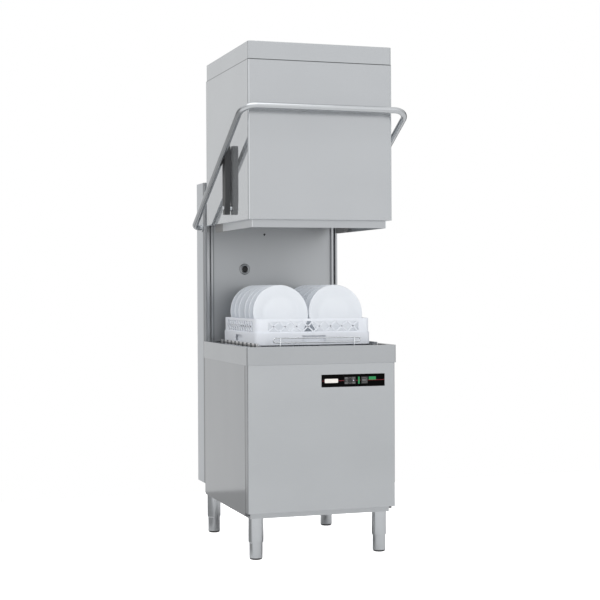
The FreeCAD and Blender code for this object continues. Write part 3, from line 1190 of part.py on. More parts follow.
def lip_guide_blocks():
    outer = LIP_HALF
    block = rounded_box(outer - BLOCK_WIDTH, outer, BLOCK_START, BLOCK_START + BLOCK_LENGTH,
                        HOOD_BOTTOM - BLOCK_HEIGHT, HOOD_BOTTOM, BLOCK_CORNER, "x")
    screw_y = BLOCK_START + BLOCK_LENGTH / 2
    screw_z = HOOD_BOTTOM - BLOCK_HEIGHT / 2
    face = outer - BLOCK_WIDTH
    screw = rod(BLOCK_SCREW, (face - BLOCK_SCREW_HEAD, screw_y, screw_z), (face, screw_y, screw_z))
    return both_sides(fused([block, screw]))


# ---- handle, shaft and lift links ------------------------------------------
def handle_bar():
    """U-shaped tube; each arm's rear end turns in to the shaft."""
    left, tip = -HANDLE_X, -HANDLE_TIP
    points = [(tip, PIVOT_Y, PIVOT_Z), (left, PIVOT_Y, PIVOT_Z), (left, BAR_Y, BAR_Z),
              (-left, BAR_Y, BAR_Z), (-left, PIVOT_Y, PIVOT_Z), (-tip, PIVOT_Y, PIVOT_Z)]
    bends = (HANDLE_END_BEND, HANDLE_BEND, HANDLE_BEND, HANDLE_END_BEND)
    return bent_pipe(points, bends, HANDLE_TUBE, SHAFT_RADIUS + RUNNING)


def handle_shaft():
    """Cross shaft through the column with two spring levers pointing back."""
    tip = HANDLE_TIP + SHAFT_ENTRY
    shapes = [rod(SHAFT_RADIUS, (-tip, PIVOT_Y, PIVOT_Z), (tip, PIVOT_Y, PIVOT_Z))]
    for x in (-SPRING_X, SPRING_X):
        hub_half, lever_half = LEVER_HUB_WIDTH / 2, LEVER_THICK / 2
        shapes.append(rod(SHAFT_RADIUS + LEVER_HUB, (x - hub_half, PIVOT_Y, PIVOT_Z),
                          (x + hub_half, PIVOT_Y, PIVOT_Z)))
        shapes.append(box(x - lever_half, x + lever_half, PIVOT_Y, PIVOT_Y + LEVER_LENGTH + LEVER_END,
                          PIVOT_Z - LEVER_HALF, PIVOT_Z + LEVER_HALF))
    return fused(shapes)


def pivot_bushes():
    """Flanged bushes in the column's sides that carry the shaft."""
    half, bore = CASING_HALF_WIDTH, SHAFT_RADIUS + RUNNING
    barrel = pipe(BUSH_RADIUS, bore, (half - BUSH_LENGTH, PIVOT_Y, PIVOT_Z), (half, PIVOT_Y, PIVOT_Z))
    flange = pipe(BUSH_RADIUS + BUSH_FLANGE, bore, (half, PIVOT_Y, PIVOT_Z),
                  (half + BUSH_FLANGE_THICK, PIVOT_Y, PIVOT_Z))
    return both_sides(fused([barrel, flange]))


def balance_springs():
    """Closed-coil balance springs, each drawn as the sleeve its turns fill, with end eyes."""
    at = (SPRING_X, PIVOT_Y + LEVER_LENGTH)
    top = PIVOT_Z - LEVER_HALF - OPEN_PIVOT_GAP
    coil_low, coil_high = SPRING_BOTTOM + SPRING_HOOK, top - SPRING_TOP_HOOK
    coil = pipe(SPRING_RADIUS, SPRING_RADIUS - SPRING_WIRE, (*at, coil_low), (*at, coil_high))
    eyes = [rod(SPRING_RADIUS, (*at, z), (*at, z + SPRING_WIRE)) for z in (coil_low - SPRING_WIRE, coil_high)]
    hooks = [rod(SPRING_WIRE, (*at, z0), (*at, z1)) for z0, z1 in ((SPRING_BOTTOM, coil_low), (coil_high, top))]
    return both_sides(fused([coil] + eyes + hooks))


def link_pins():
    """Studs on the hood's sides, each with a head that keeps the link on."""
    at = (LINK_PIN_Y, LINK_PIN_Z)
    head_x = LINK_OUTER + OPEN_PIVOT_GAP
    stud = rod(LINK_PIN_RADIUS, (HOOD_HALF_WIDTH, *at), (head_x, *at))
    base = rod(LINK_PIN_RADIUS + LINK_PIN_BASE, (HOOD_HALF_WIDTH, *at), (LINK_INNER - OPEN_PIVOT_GAP, *at))
    head = rod(LINK_PIN_RADIUS + LINK_PIN_HEAD, (head_x, *at), (head_x + LINK_PIN_HEAD, *at))
    return both_sides(fused([stud, base, head]))


def lift_links():
    """Moulded links: pinned to the hood below, and reaching the arms at an open pivot above."""
    y0, y1 = LINK_PIN_Y - LINK_WIDTH / 2, LINK_PIN_Y + LINK_WIDTH / 2
    z0, z1 = LINK_PIN_Z - LINK_FOOT_OVER, UPPER_PIN_Z + LINK_TOP_OVER
    shoulder = z0 + LINK_TAPER
    outline = [(y0 + LINK_TAPER_SIDE, z0), (y1 - LINK_TAPER_SIDE, z0), (y1, shoulder),
               (y1, z1 - LINK_BACK_CHAMFER), (y1 - LINK_BACK_CHAMFER, z1),
               (y0 + LINK_FRONT_CHAMFER, z1), (y0, z1 - LINK_FRONT_CHAMFER), (y0, shoulder)]
    wire = Part.makePolygon([Vector(LINK_INNER, y, z) for y, z in outline + outline[:1]])
    body = Part.Face(wire).extrude(Vector(LINK_THICK, 0, 0))
    eye = rod(LINK_PIN_RADIUS + RUNNING, (LINK_INNER - 1, LINK_PIN_Y, LINK_PIN_Z),
              (LINK_OUTER + 1, LINK_PIN_Y, LINK_PIN_Z))
    boss = rod(LINK_PIN_RADIUS + LINK_BOSS, (LINK_OUTER, LINK_PIN_Y, UPPER_PIN_Z),
               (HANDLE_X - HANDLE_TUBE - OPEN_PIVOT_GAP, LINK_PIN_Y, UPPER_PIN_Z))
    return both_sides(fused([body.cut(eye), boss]))


# ---- rack track, stop, rack and plates -------------------------------------
def rack_track():
    """Two notched side guides with ledges for the rack, two cross bars and four legs."""
    top = RACK_BOTTOM + TRACK_RISE
    bottom = RACK_BOTTOM - TRACK_DEPTH
    y0, y1 = TRACK_FRONT, TRACK_BACK
    inner, outer = TRACK_INNER, TRACK_INNER + TRACK_WALL
    guide = box(inner, outer, y0, y1, bottom, top)
    notches = []
    for i in range(NOTCH_COUNT):
        y = y0 + NOTCH_START + i * NOTCH_PITCH
        notches.append(box(inner - 1, outer + 1, y, y + NOTCH_WIDTH, top - NOTCH_DEPTH, top + 1))
    guide = guide.cut(notches[0].fuse(notches[1:]))
    reach = inner - TRACK_LEDGE
    ledge = box(reach, inner, y0, y1, bottom, RACK_BOTTOM)
    legs = [box(inner, outer, y, y + TRACK_LEG, TANK_FLOOR + SHEET, bottom) for y in (y0, y1 - TRACK_LEG)]
    side = fused([guide, ledge] + legs)
    bars = [box(-reach, reach, y, y + TRACK_BAR, bottom, bottom + TRACK_BAR_THICK) for y in (y0, y1 - TRACK_BAR)]
    return fused([side, mirrored(side)] + bars)


def rack_stop_wire():
    """Long wire loop across the front, on two clips that stand on the track's front bar."""
    r = STOP_WIRE_RADIUS
    half, up = STOP_HALF_LENGTH - r, STOP_HEIGHT / 2
    low, high = STOP_Z - up, STOP_Z + up
    points = [(0, STOP_Y, high), (half, STOP_Y, high), (half, STOP_Y, low),
              (-half, STOP_Y, low), (-half, STOP_Y, high), (0, STOP_Y, high)]
    loop = bent_rod(points, (up - SEAM,) * 4, r)
    bar_top = RACK_BOTTOM - TRACK_DEPTH + TRACK_BAR_THICK
    clips = [box(x - STOP_CLIP_THICK / 2, x + STOP_CLIP_THICK / 2, STOP_Y - STOP_CLIP_HALF, STOP_Y + STOP_CLIP_HALF,
                 bar_top, high) for x in (-STOP_CLIP_X, STOP_CLIP_X)]
    return fused([loop] + clips)


def rack_basket():
    """Square moulded rack: plain lower band, windowed upper band, floor grid and rows of pegs."""
    half = RACK_SIZE / 2
    mid_y = RACK_FRONT + half
    z0, z1 = RACK_BOTTOM, RACK_BOTTOM + RACK_HEIGHT
    step = z0 + RACK_STEP_HEIGHT

    def square(reach, low, high, corner):
        return rounded_box(-reach, reach, mid_y - reach, mid_y + reach, low, high, corner, "z")

    def on_four_walls(centre, width, low, high):
        """Openings through the front and back walls, and through the two side walls."""
        a, b, out = centre - width / 2, centre + width / 2, half + 1
        return [box(a, b, mid_y - out, mid_y + out, low, high),
                box(-out, out, mid_y + a, mid_y + b, low, high)]

    def across(at, width, high):
        """A floor bar each way, between the walls."""
        return [box(at - width / 2, at + width / 2, mid_y - well, mid_y + well, z0, high),
                box(-well, well, mid_y + at - width / 2, mid_y + at + width / 2, z0, high)]

    well = half - RACK_WALL
    walls = square(half, z0, step, RACK_CORNER).fuse(square(half - RACK_STEP, step, z1, RACK_CORNER))
    walls = walls.cut(square(well, z0 - 1, z1 + 1, RACK_WELL_CORNER))
    bay = (RACK_SIZE - 2 * RACK_WINDOW_END) / RACK_WINDOWS
    cuts = on_four_walls(0, RACK_GRIP, step - RACK_GRIP_TOP - RACK_GRIP_HEIGHT, step - RACK_GRIP_TOP)
    for i in range(RACK_WINDOWS):
        cuts += on_four_walls(RACK_WINDOW_END - half + (i + 0.5) * bay, bay - RACK_WINDOW_POST,
                              step + RACK_WINDOW_SILL, z1 - RACK_RIM)
    walls = walls.cut(cuts[0].fuse(cuts[1:]))
    bars = []
    for i in range(RACK_BARS):
        bars += across(-well + (i + 0.5) * 2 * well / RACK_BARS, RACK_BAR, z0 + RACK_FLOOR)
    pegs = []
    for row in PLATE_ROWS:
        y = RACK_FRONT + row + PEG_BEHIND
        bars.append(box(-well, well, y - RACK_BAR, y + RACK_BAR, z0, z0 + RACK_FLOOR))
        pegs += [rod(PEG_RADIUS, (x, y, z0 + PEG_ROOT), (x, y, z0 + PEG_HEIGHT)) for x in PEG_COLUMNS]
    return fused([walls] + bars + pegs)


def plate(x, y):
    """Shallow plate standing on its rim, leaning back on the pegs."""
    r, t, rise = PLATE_RADIUS, PLATE_THICK, PLATE_RISE
    lip = rise - PLATE_LIP_SHARE * t
    outline = [(0, 0), (r * PLATE_WELL_SHARE, 0), (r, -rise), (r, -lip), (r * PLATE_WELL_BACK_SHARE, t), (0, t)]
    face = Part.Face(Part.makePolygon([Vector(a, b, 0) for a, b in outline + outline[:1]]))
    dish = face.revolve(Vector(0, 0, 0), Vector(0, 1, 0), 360)
    foot_z = RACK_BOTTOM + RACK_FLOOR + SEAT_GAP - lip * sin(radians(PLATE_LEAN))
    dish.translate(Vector(x, y, foot_z + r))
    dish.rotate(Vector(x, y, foot_z), Vector(1, 0, 0), -PLATE_LEAN)
    return dish


def plates():
    return Part.makeCompound([plate(x, RACK_FRONT + row) for row in PLATE_ROWS
                              for x in (-PLATE_COLUMN_X, PLATE_COLUMN_X)])


# ---- every sub-part to its own file ----------------------------------------
NODES = {
    "base_frame": base_frame, "base_tray": base_tray, "leg_tubes": leg_tubes,
    "front_panel": front_panel, "deck": deck, "wash_tank": wash_tank, "wash_tub": wash_tub,
    "overflow_pipe": overflow_pipe, "sump_strainer": sump_strainer, "filter_trays": filter_trays,
    "tank_heater": tank_heater, "lower_standpipe": lower_standpipe, "wash_riser": wash_riser,
    "pump_motor": pump_motor, "pump_volute": pump_volute, "suction_hose": suction_hose,
    "delivery_pipe": delivery_pipe, "boiler": boiler, "rinse_pipe": rinse_pipe,
    "inlet_valve": inlet_valve, "drain_pump": drain_pump, "cable_gland": cable_gland,
    "dosing_pumps": dosing_pumps, "control_box": control_box, "control_fascia": control_fascia,
    "fascia_windows": fascia_windows, "button_bezel": button_bezel, "program_button": program_button,
    "power_button": power_button, "guide_posts": guide_posts, "back_wall": back_wall,
    "port_fitting": port_fitting, "rear_casing": rear_casing, "rear_cover": rear_cover,
    "cover_screws": cover_screws, "hood_shell": hood_shell, "hood_cap": hood_cap,
    "hood_liner": hood_liner, "guide_shoes": guide_shoes, "lip_guide_blocks": lip_guide_blocks,
    "handle_bar": handle_bar, "handle_shaft": handle_shaft, "pivot_bushes": pivot_bushes,
    "balance_springs": balance_springs, "link_pins": link_pins, "lift_links": lift_links,
    "rack_track": rack_track, "rack_stop_wire": rack_stop_wire, "rack_basket": rack_basket,
    "plates": plates,
}

os.makedirs("parts", exist_ok=True)
for node, build in NODES.items():
    export(node, build())

right_side = side_panel()
export("side_panel_right", right_side)
export("side_panel_left", mirrored(right_side))

for name, (foot_x, foot_y) in zip(("front_left", "front_right", "rear_left", "rear_right"), leg_places()):
    export("foot_" + name, foot(foot_x, foot_y))

for name, z, lift in (("wash_arm_lower", LOWER_WASH_Z, 1), ("wash_arm_upper", UPPER_WASH_Z, -1)):
    export(name, spray_arm(z, SPINDLE_RADIUS, HUB_RADIUS, ARM_REACH, WASH_BLADE_HALF, WASH_BLADE_THICK, lift))
for name, z, lift in (("rinse_arm_lower", LOWER_RINSE_Z, 1), ("rinse_arm_upper", UPPER_RINSE_Z, -1)):
    export(name, spray_arm(z, RINSE_SPINDLE, RINSE_SPINDLE + RINSE_HUB_WALL, RINSE_REACH,
                           RINSE_BLADE_HALF, RINSE_BLADE_THICK, lift))
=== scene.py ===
from math import cos, pi, radians, sin
import bmesh
import bpy
from mathutils import Matrix, Vector


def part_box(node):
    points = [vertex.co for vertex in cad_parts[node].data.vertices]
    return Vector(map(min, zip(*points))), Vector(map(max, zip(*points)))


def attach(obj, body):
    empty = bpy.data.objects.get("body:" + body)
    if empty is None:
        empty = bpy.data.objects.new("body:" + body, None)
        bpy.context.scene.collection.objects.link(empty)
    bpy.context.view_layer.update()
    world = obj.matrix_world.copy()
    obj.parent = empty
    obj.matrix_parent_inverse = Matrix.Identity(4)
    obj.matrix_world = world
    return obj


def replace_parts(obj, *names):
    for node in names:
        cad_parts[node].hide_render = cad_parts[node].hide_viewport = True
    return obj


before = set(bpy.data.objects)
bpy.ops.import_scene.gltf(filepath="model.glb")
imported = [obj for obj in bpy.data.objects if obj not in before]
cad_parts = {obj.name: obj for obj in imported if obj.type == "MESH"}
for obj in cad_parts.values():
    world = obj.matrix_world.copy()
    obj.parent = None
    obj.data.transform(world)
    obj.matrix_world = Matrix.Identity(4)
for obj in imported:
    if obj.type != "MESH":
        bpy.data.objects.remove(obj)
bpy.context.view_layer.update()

# ---- Camera --------------------------------------------------------------------------
# It stands a long way off, to the left of the machine's front and at about the height
# of the hood's mouth, and looks level.
view = bpy.data.cameras.new("view")
view.sensor_width = 36.0
view.lens = 83.76
view.clip_end = 60.0
camera = bpy.data.objects.new("view", view)
bpy.context.scene.collection.objects.link(camera)
yaw, pitch, roll = radians(18.13), radians(-0.56), radians(-0.26)
forward = Vector((sin(yaw) * cos(pitch), cos(yaw) * cos(pitch), sin(pitch)))
across = Vector((cos(yaw), -sin(yaw), 0.0))
upward = across.cross(forward)
right_hand = across * cos(roll) + upward * sin(roll)
head_up = upward * cos(roll) - across * sin(roll)
camera.matrix_world = Matrix((right_hand, head_up, -forward)).transposed().to_4x4()
camera.location = (-1.8348, -5.6894, 1.0953)
bpy.context.scene.camera = camera
bpy.context.scene.view_settings.view_transform = "Standard"


# ---- Studio --------------------------------------------------------------------------
# A plain room: a wide white screen in front of the machine, dimmer grey walls at its back
# and sides with a darker flag either side of the back, a wide soft lamp overhead and a
# smaller one at the left. Seen directly, the room is white all round.
class Wire:
    """A shader socket that can be added, multiplied and compared like a number."""

    def __init__(self, sheet, socket):
        self.sheet = sheet
        self.socket = socket

    def _maths(self, operation, first, second):
        return self.sheet.node("ShaderNodeMath", {"operation": operation}, [first, second])

    def __add__(self, other):
        return self._maths("ADD", self, other)

    def __sub__(self, other):
        return self._maths("SUBTRACT", self, other)

    def __rsub__(self, other):
        return self._maths("SUBTRACT", other, self)

    def __mul__(self, other):
        return self._maths("MULTIPLY", self, other)

    def __gt__(self, other):
        return self._maths("GREATER_THAN", self, other)

    __radd__ = __add__


class Sheet:
    """A node tree, and what adds nodes to it."""

    def __init__(self, owner):
        owner.use_nodes = True
        self.tree = owner.node_tree

    def node(self, kind, settings, inputs, out=0):
        made = self.tree.nodes.new(kind)
        for key, value in settings.items():
            setattr(made, key, value)
        pairs = inputs.items() if isinstance(inputs, dict) else enumerate(inputs)
        for key, value in pairs:
            if isinstance(value, Wire):
                self.tree.links.new(value.socket, made.inputs[key])
            else:
                made.inputs[key].default_value = value
        return Wire(self, made.outputs[out])

    def ramp(self, value, start, end, kind="LINEAR"):
        """0 below start, 1 above end."""
        return self.node("ShaderNodeMapRange", {"interpolation_type": kind}, [value, start, end])


def grey(level, warm=0.0):
    return (level * (1 + warm), level, level * (1 - warm), 1.0)


room = bpy.data.worlds.new("room")
bpy.context.scene.world = room
walls = Sheet(room)
heading = walls.node("ShaderNodeTexCoord", {}, {}, "Generated")
along_x, along_y, along_z = (
    walls.node("ShaderNodeSeparateXYZ", {}, {"Vector": heading}, axis) for axis in range(3))
SCREEN_AT, SCREEN_LIGHT, WALL_LIGHT = radians(-80.0), 0.42, 0.74
BACK_DIM, CEILING_LIGHT = 0.04, 0.30
facing_screen = along_x * cos(SCREEN_AT) + along_y * sin(SCREEN_AT)
screen = walls.ramp(facing_screen, 0.45, 0.98, "SMOOTHSTEP")
skyward = walls.ramp(along_z, 0.15, 0.90, "SMOOTHSTEP")
lit = screen * SCREEN_LIGHT + WALL_LIGHT - along_y * BACK_DIM + skyward * CEILING_LIGHT
FLAGS = ((radians(38.0), 0.50), (radians(150.0), 0.42))
for flag_at, flag_dim in FLAGS:
    facing_flag = along_x * cos(flag_at) + along_y * sin(flag_at)
    lit = lit - walls.ramp(facing_flag, 0.80, 0.95, "SMOOTHSTEP") * flag_dim
seen = walls.node("ShaderNodeLightPath", {}, {}, "Is Camera Ray")
brightness = lit + seen * (1.0 - lit)
walls.tree.links.new(brightness.socket, walls.tree.nodes["Background"].inputs["Strength"])
walls.tree.nodes["Background"].inputs["Color"].default_value = grey(1.0)


def softbox(name, size, energy, location, aim_height):
    """A square lamp turned towards a height on the machine's middle line."""
    lamp = bpy.data.lights.new(name, "AREA")
    lamp.size, lamp.energy = size, energy
    box = bpy.data.objects.new(name, lamp)
    bpy.context.scene.collection.objects.link(box)
    box.location = location
    aim = Vector((0.0, 0.0, aim_height)) - box.location
    box.rotation_euler = aim.to_track_quat("-Z", "Y").to_euler()
    return box


softbox("overhead", 4.0, 58.0, (-1.0, -2.0, 5.0), 0.8)
softbox("left fill", 1.6, 12.0, (-3.2, -3.0, 1.5), 1.05).visible_glossy = False


# ---- Floor ---------------------------------------------------------------------------
# A pale sheet of vinyl that ends a little way behind the machine. The metal mirrors it as
# mid grey and the camera sees it nearly white. Beside the machine's left side, from its
# front backwards, it carries painted shade in dark grey, for the left side panel to mirror.
# It isn't part of the machine.
class Finish(Sheet):
    """One material: its Principled shader and the nodes that feed it."""

    def __init__(self, name, **constants):
        self.material = bpy.data.materials.new(name)
        super().__init__(self.material)
        self.shader = self.tree.nodes["Principled BSDF"]
        for socket, value in constants.items():
            self.shader.inputs[socket.replace("_", " ")].default_value = value

    def place(self, scale=(1.0, 1.0, 1.0)):
        spot = self.node("ShaderNodeTexCoord", {}, {}, "Object")
        return self.node("ShaderNodeMapping", {}, {"Vector": spot, "Scale": scale})

    def along(self, axis):
        spot = self.node("ShaderNodeTexCoord", {}, {}, "Object")
        return self.node("ShaderNodeSeparateXYZ", {}, {"Vector": spot}, axis.upper())

    def noise(self, spot, scale, detail=3.0, rough=0.5):
        return self.node("ShaderNodeTexNoise", {}, {"Vector": spot, "Scale": scale, "Detail": detail,
                                                    "Roughness": rough})

    def blend(self, mask, low, high):
        return self.node("ShaderNodeMix", {"data_type": "RGBA"}, {0: mask, 6: low, 7: high}, 2)

    def feed(self, socket, wire):
        self.tree.links.new(wire.socket, self.shader.inputs[socket])

    def bump(self, height, distance, strength):
        relief = {"Height": height, "Distance": distance, "Strength": strength}
        self.feed("Normal", self.node("ShaderNodeBump", {}, relief))


slab = bmesh.new()
FLOOR_BACK, FLOOR_FRONT, FLOOR_HALF = 1.54, 9.0, 8.0
floor_middle = Matrix.Translation((0.0, (FLOOR_BACK - FLOOR_FRONT) / 2, 0.0))
floor_reach = Matrix.Diagonal((FLOOR_HALF, (FLOOR_BACK + FLOOR_FRONT) / 2, 1.0, 1.0))
bmesh.ops.create_grid(slab, x_segments=1, y_segments=1, size=1.0, matrix=floor_middle @ floor_reach)
floor_mesh = bpy.data.meshes.new("floor")
slab.to_mesh(floor_mesh)
slab.free()
floor = bpy.data.objects.new("floor", floor_mesh)
bpy.context.scene.collection.objects.link(floor)
vinyl = Finish("pale floor", Roughness=0.8)
speck = vinyl.noise(vinyl.place(), 60.0, 2.0)
# Painted shade: the floor to the machine's left, from its front backwards, is dark grey.
leftward = 1.0 - vinyl.ramp(vinyl.along("x"), -0.50, -0.36)
floor_shade_mask = vinyl.ramp(vinyl.along("y"), -0.45, -0.30) * leftward
near = vinyl.blend(speck, grey(0.88), grey(0.91))
painted_floor_shade = vinyl.blend(speck, grey(0.37), grey(0.40))
vinyl.feed("Base Color", vinyl.blend(floor_shade_mask, near, painted_floor_shade))
direct = vinyl.node("ShaderNodeLightPath", {}, {}, "Is Camera Ray")
vinyl.feed("Emission Color", vinyl.blend(direct, grey(0.0), grey(0.88)))
vinyl.shader.inputs["Emission Strength"].default_value = 1.0
floor.data.materials.append(vinyl.material)


# ---- Legs ----------------------------------------------------------------------------
# Four stainless tubes screwed up into the base frame. Their lower ends are open and
# threaded for the feet.
WARMTH = -0.034
SCRATCH, SCRATCH_ALONG, CLOUD, CLOUD_ALONG = 1500.0, 9.0, 6.0, 0.5


def brushed(name, level, grain, gloss, spread=0.06, mottle=0.05, sides=None, side_from=None,
            side_gloss=None, shade_line=None):
    """Brushed stainless sheet: fine scratches along the grain axis over a faint cloudiness.

    Faces further out than side_from to the left and right may have a level and a gloss of
    their own; the level is painted light and shade, making the sides lighter or darker than
    the front for how light falls on them. The last argument, (axis, place, half width, depth),
    paints a line of shade where two sheets meet and along folds."""
    steel = Finish(name, Metallic=1.0)
    fine, broad = [SCRATCH] * 3, [CLOUD] * 3
    fine["xyz".index(grain)] = SCRATCH_ALONG
    broad["xyz".index(grain)] = CLOUD_ALONG
    lines = steel.noise(steel.place(fine), 1.0, 2.0, 0.6)
    bands = steel.noise(steel.place(broad), 1.0, 2.0, 0.4)
    smudge = steel.noise(steel.place(), 4.0, 2.0, 0.4)
    tone = (bands - 0.5) * mottle + (lines - 0.5) * (mottle * 0.25)
    tone = tone + (smudge - 0.5) * mottle
    matt = (lines - 0.5) * spread
    if sides is None:
        shade, rough = tone + level, matt + gloss
    else:
        outward = steel.node("ShaderNodeMath", {"operation": "ABSOLUTE"}, [steel.along("x")])
        beside = steel.ramp(outward, side_from, side_from + 0.0005)
        # The side level is painted light and shade for how light falls on the left and right faces.
        shade = tone + level + beside * (sides - level)
        rough = matt * (1.0 - beside) + gloss + beside * ((side_gloss or gloss) - gloss)
    # Painted shade: a darker line along joints and folds.
    if shade_line:
        axis, place, half_width, depth = shade_line
        from_line = steel.node("ShaderNodeMath", {"operation": "ABSOLUTE"}, [steel.along(axis) - place])
        shade = shade * (depth + steel.ramp(from_line, half_width * 0.6, half_width) * (1.0 - depth))
    steel.colour = steel.blend(shade, grey(0.0), grey(1.0, WARMTH))
    steel.feed("Base Color", steel.colour)
    steel.feed("Roughness", rough)
    steel.bump(lines, 0.000004, 0.3)
    return steel


def dress(finish, *nodes):
    """Gives carried-over CAD nodes their finish."""
    for node in nodes:
        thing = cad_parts[node]
        thing.data.materials.clear()
        thing.data.materials.append(finish.material)


def piece(name, shape, body, slot, *finishes, smooth=35.0):
    """Turns a bmesh into an object that rides on a body."""
    mesh = bpy.data.meshes.new(name)
    shape.to_mesh(mesh)
    shape.free()
    thing = bpy.data.objects.new(name, mesh)
    bpy.context.scene.collection.objects.link(thing)
    for finish in finishes:
        mesh.materials.append(finish.material)
    mesh.shade_smooth()
    mesh.set_sharp_from_angle(angle=radians(smooth))
    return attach(thing, body)


def bevelled(shape, edges, width, steps):
    bmesh.ops.bevel(shape, geom=edges, offset=width, offset_type="OFFSET", segments=steps, profile=0.5,
                    affect="EDGES", clamp_overlap=True, material=-1)


def refined(name, node, body, slot, finish, edge=0.0, steps=2):
    """A merged copy of a CAD node with smooth rounds and, where asked, softened edges."""
    shape = bmesh.new()
    shape.from_mesh(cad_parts[node].data)
    bmesh.ops.remove_doubles(shape, verts=shape.verts, dist=1e-6)
    bmesh.ops.dissolve_limit(shape, angle_limit=radians(0.5), verts=shape.verts, edges=shape.edges)
    if edge:
        corners = [e for e in shape.edges if e.is_manifold and e.calc_face_angle() > radians(35.0)]
        bevelled(shape, corners, edge, steps)
    made = piece(name, shape, body, slot, finish)
    if edge:
        made.modifiers.new("even shading", "WEIGHTED_NORMAL").keep_sharp = True
    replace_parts(made, node)
    return made


leg_steel = brushed("leg tube steel", 0.51, "z", 0.17, mottle=0.02)
refined("leg_tube_set", "leg_tubes", "machine", "steel", leg_steel, edge=0.0003)


# ---- Feet ----------------------------------------------------------------------------
# Turned stainless cups that screw in and out of the legs to level the machine, each
# standing on a black rubber toe pressed into its end.
def turned(shape, outline, centre, steps=48, axis=(0.0, 0.0, 1.0), materials=None):
    """Spins an outline of (radius, height) points round an axis through the centre."""
    axis = Vector(axis)
    out = axis.orthogonal().normalized()
    points = [shape.verts.new(Vector(centre) + out * radius + axis * height) for radius, height in outline]
    edges = [shape.edges.new(pair) for pair in zip(points, points[1:])]
    before = set(shape.faces)
    bmesh.ops.spin(shape, geom=points + edges, cent=centre, axis=axis, dvec=(0, 0, 0), angle=2 * pi,
                   steps=steps, use_merge=True, use_normal_flip=False, use_duplicate=False)
    bmesh.ops.remove_doubles(shape, verts=shape.verts, dist=2e-6)
    made = [face for face in shape.faces if face not in before]
    if materials:
        for face in made:
            height = (face.calc_center_median() - Vector(centre)).dot(axis)
            face.material_index = materials(height)
    return made


def closed(shape):
    bmesh.ops.recalc_face_normals(shape, faces=shape.faces)
    return shape


rubber = Finish("black rubber", Roughness=0.62)
dust = rubber.noise(rubber.place(), 240.0, 3.0)
rubber.feed("Base Color", rubber.blend(dust, grey(0.018), grey(0.040)))
rubber.bump(dust, 0.0001, 0.4)
TOE_HEIGHT, TOE_ROUND, TOE_INSET, FLARE, LAND = 0.007, 0.0035, 0.0012, 0.0025, 0.0008
STUD_RADIUS, STUD_CHAMFER = 0.009, 0.002
leg_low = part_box("leg_tubes")[0].z
for corner, body in (("front_left", "foot_fl"), ("front_right", "foot_fr"), ("rear_left", "foot_rl"),
                     ("rear_right", "foot_rr")):
    low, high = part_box("foot_" + corner)
    collar = (high.x - low.x) / 2
    radius = collar - FLARE
    toe = radius - TOE_INSET
    middle = ((low.x + high.x) / 2, (low.y + high.y) / 2, 0.0)
    outline = [(0.0, 0.0), (radius - 2.2 * TOE_ROUND, 0.0), (radius - 1.1 * TOE_ROUND, TOE_ROUND * 0.35),
               (radius - 0.5 * TOE_ROUND, TOE_ROUND), (toe, TOE_HEIGHT - 0.001), (toe, TOE_HEIGHT),
               (radius, TOE_HEIGHT + LAND), (radius, TOE_HEIGHT + 2 * LAND),
               (radius, leg_low - 2.4 * FLARE), (radius, leg_low - 2 * FLARE),
               (collar, leg_low - LAND), (collar, leg_low), (STUD_RADIUS, leg_low),
               (STUD_RADIUS, high.z - STUD_CHAMFER), (STUD_RADIUS - STUD_CHAMFER, high.z), (0.0, high.z)]
    cup = bmesh.new()
    turned(cup, outline, middle, materials=lambda height: 1 if height < TOE_HEIGHT - LAND / 2 else 0)
    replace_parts(piece("cup_" + corner, closed(cup), body, "steel", leg_steel, rubber), "foot_" + corner)


# ---- Base frame ----------------------------------------------------------------------
# A welded frame of folded stainless rails that carries the machine on its legs, with a
# drip tray laid over it.
dress(brushed("frame steel", 0.42, "x", 0.30, mottle=0.02), "base_frame", "base_tray")


# ---- Front and side panels -----------------------------------------------------------
# Folded brushed sheets hung on the frame, each ending a hair's breadth under the deck's
# apron. The front one is brushed across, the side ones up and down, with a narrow flange
# turned in behind it.
# The panel's left and right faces are a touch darker than its front: painted shade for how light falls on
# them.
front_steel = brushed("front panel steel", 0.455, "x", 0.26, mottle=0.03, sides=0.43, side_from=0.3125)
dress(front_steel, "front_panel")


def block(shape, low, high):
    """A box between two corners."""
    low, high = Vector(low), Vector(high)
    size = Matrix.Diagonal((*(high - low), 1.0))
    return bmesh.ops.create_cube(shape, size=1.0, matrix=Matrix.Translation((low + high) / 2) @ size)["verts"]


SHEET = 0.0012
side_low, side_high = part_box("side_panel_right")
# Painted shade: a dark line runs down each side panel's front edge, where it meets the front panel.
side_steel = brushed("side panel steel", 0.455, "z", 0.10, mottle=0.03, spread=0.03,
                     shade_line=("y", side_low.y, 0.0060, 0.25))
dress(side_steel, "side_panel_left", "side_panel_right")
flanges = bmesh.new()
for side in (-1, 1):
    reach = sorted((side * side_low.x, side * (side_high.x - SHEET)))
    block(flanges, (reach[0], side_low.y, side_low.z + SHEET), (reach[1], side_low.y + SHEET, side_high.z))
piece("side_front_flanges", flanges, "machine", "steel_panel", side_steel)


# ---- Deck ----------------------------------------------------------------------------
# A pressed stainless worktop with a turned-down apron all round and a wide mouth that
# the hood's lip drops into.
# The deck's left and right faces are lighter than its front: painted light for how light falls on them.
deck_steel = brushed("deck steel", 0.41, "x", 0.24, mottle=0.03, sides=0.57, side_from=0.3170)
refined("deck_pressing", "deck", "machine", "steel_panel", deck_steel, edge=0.0006)


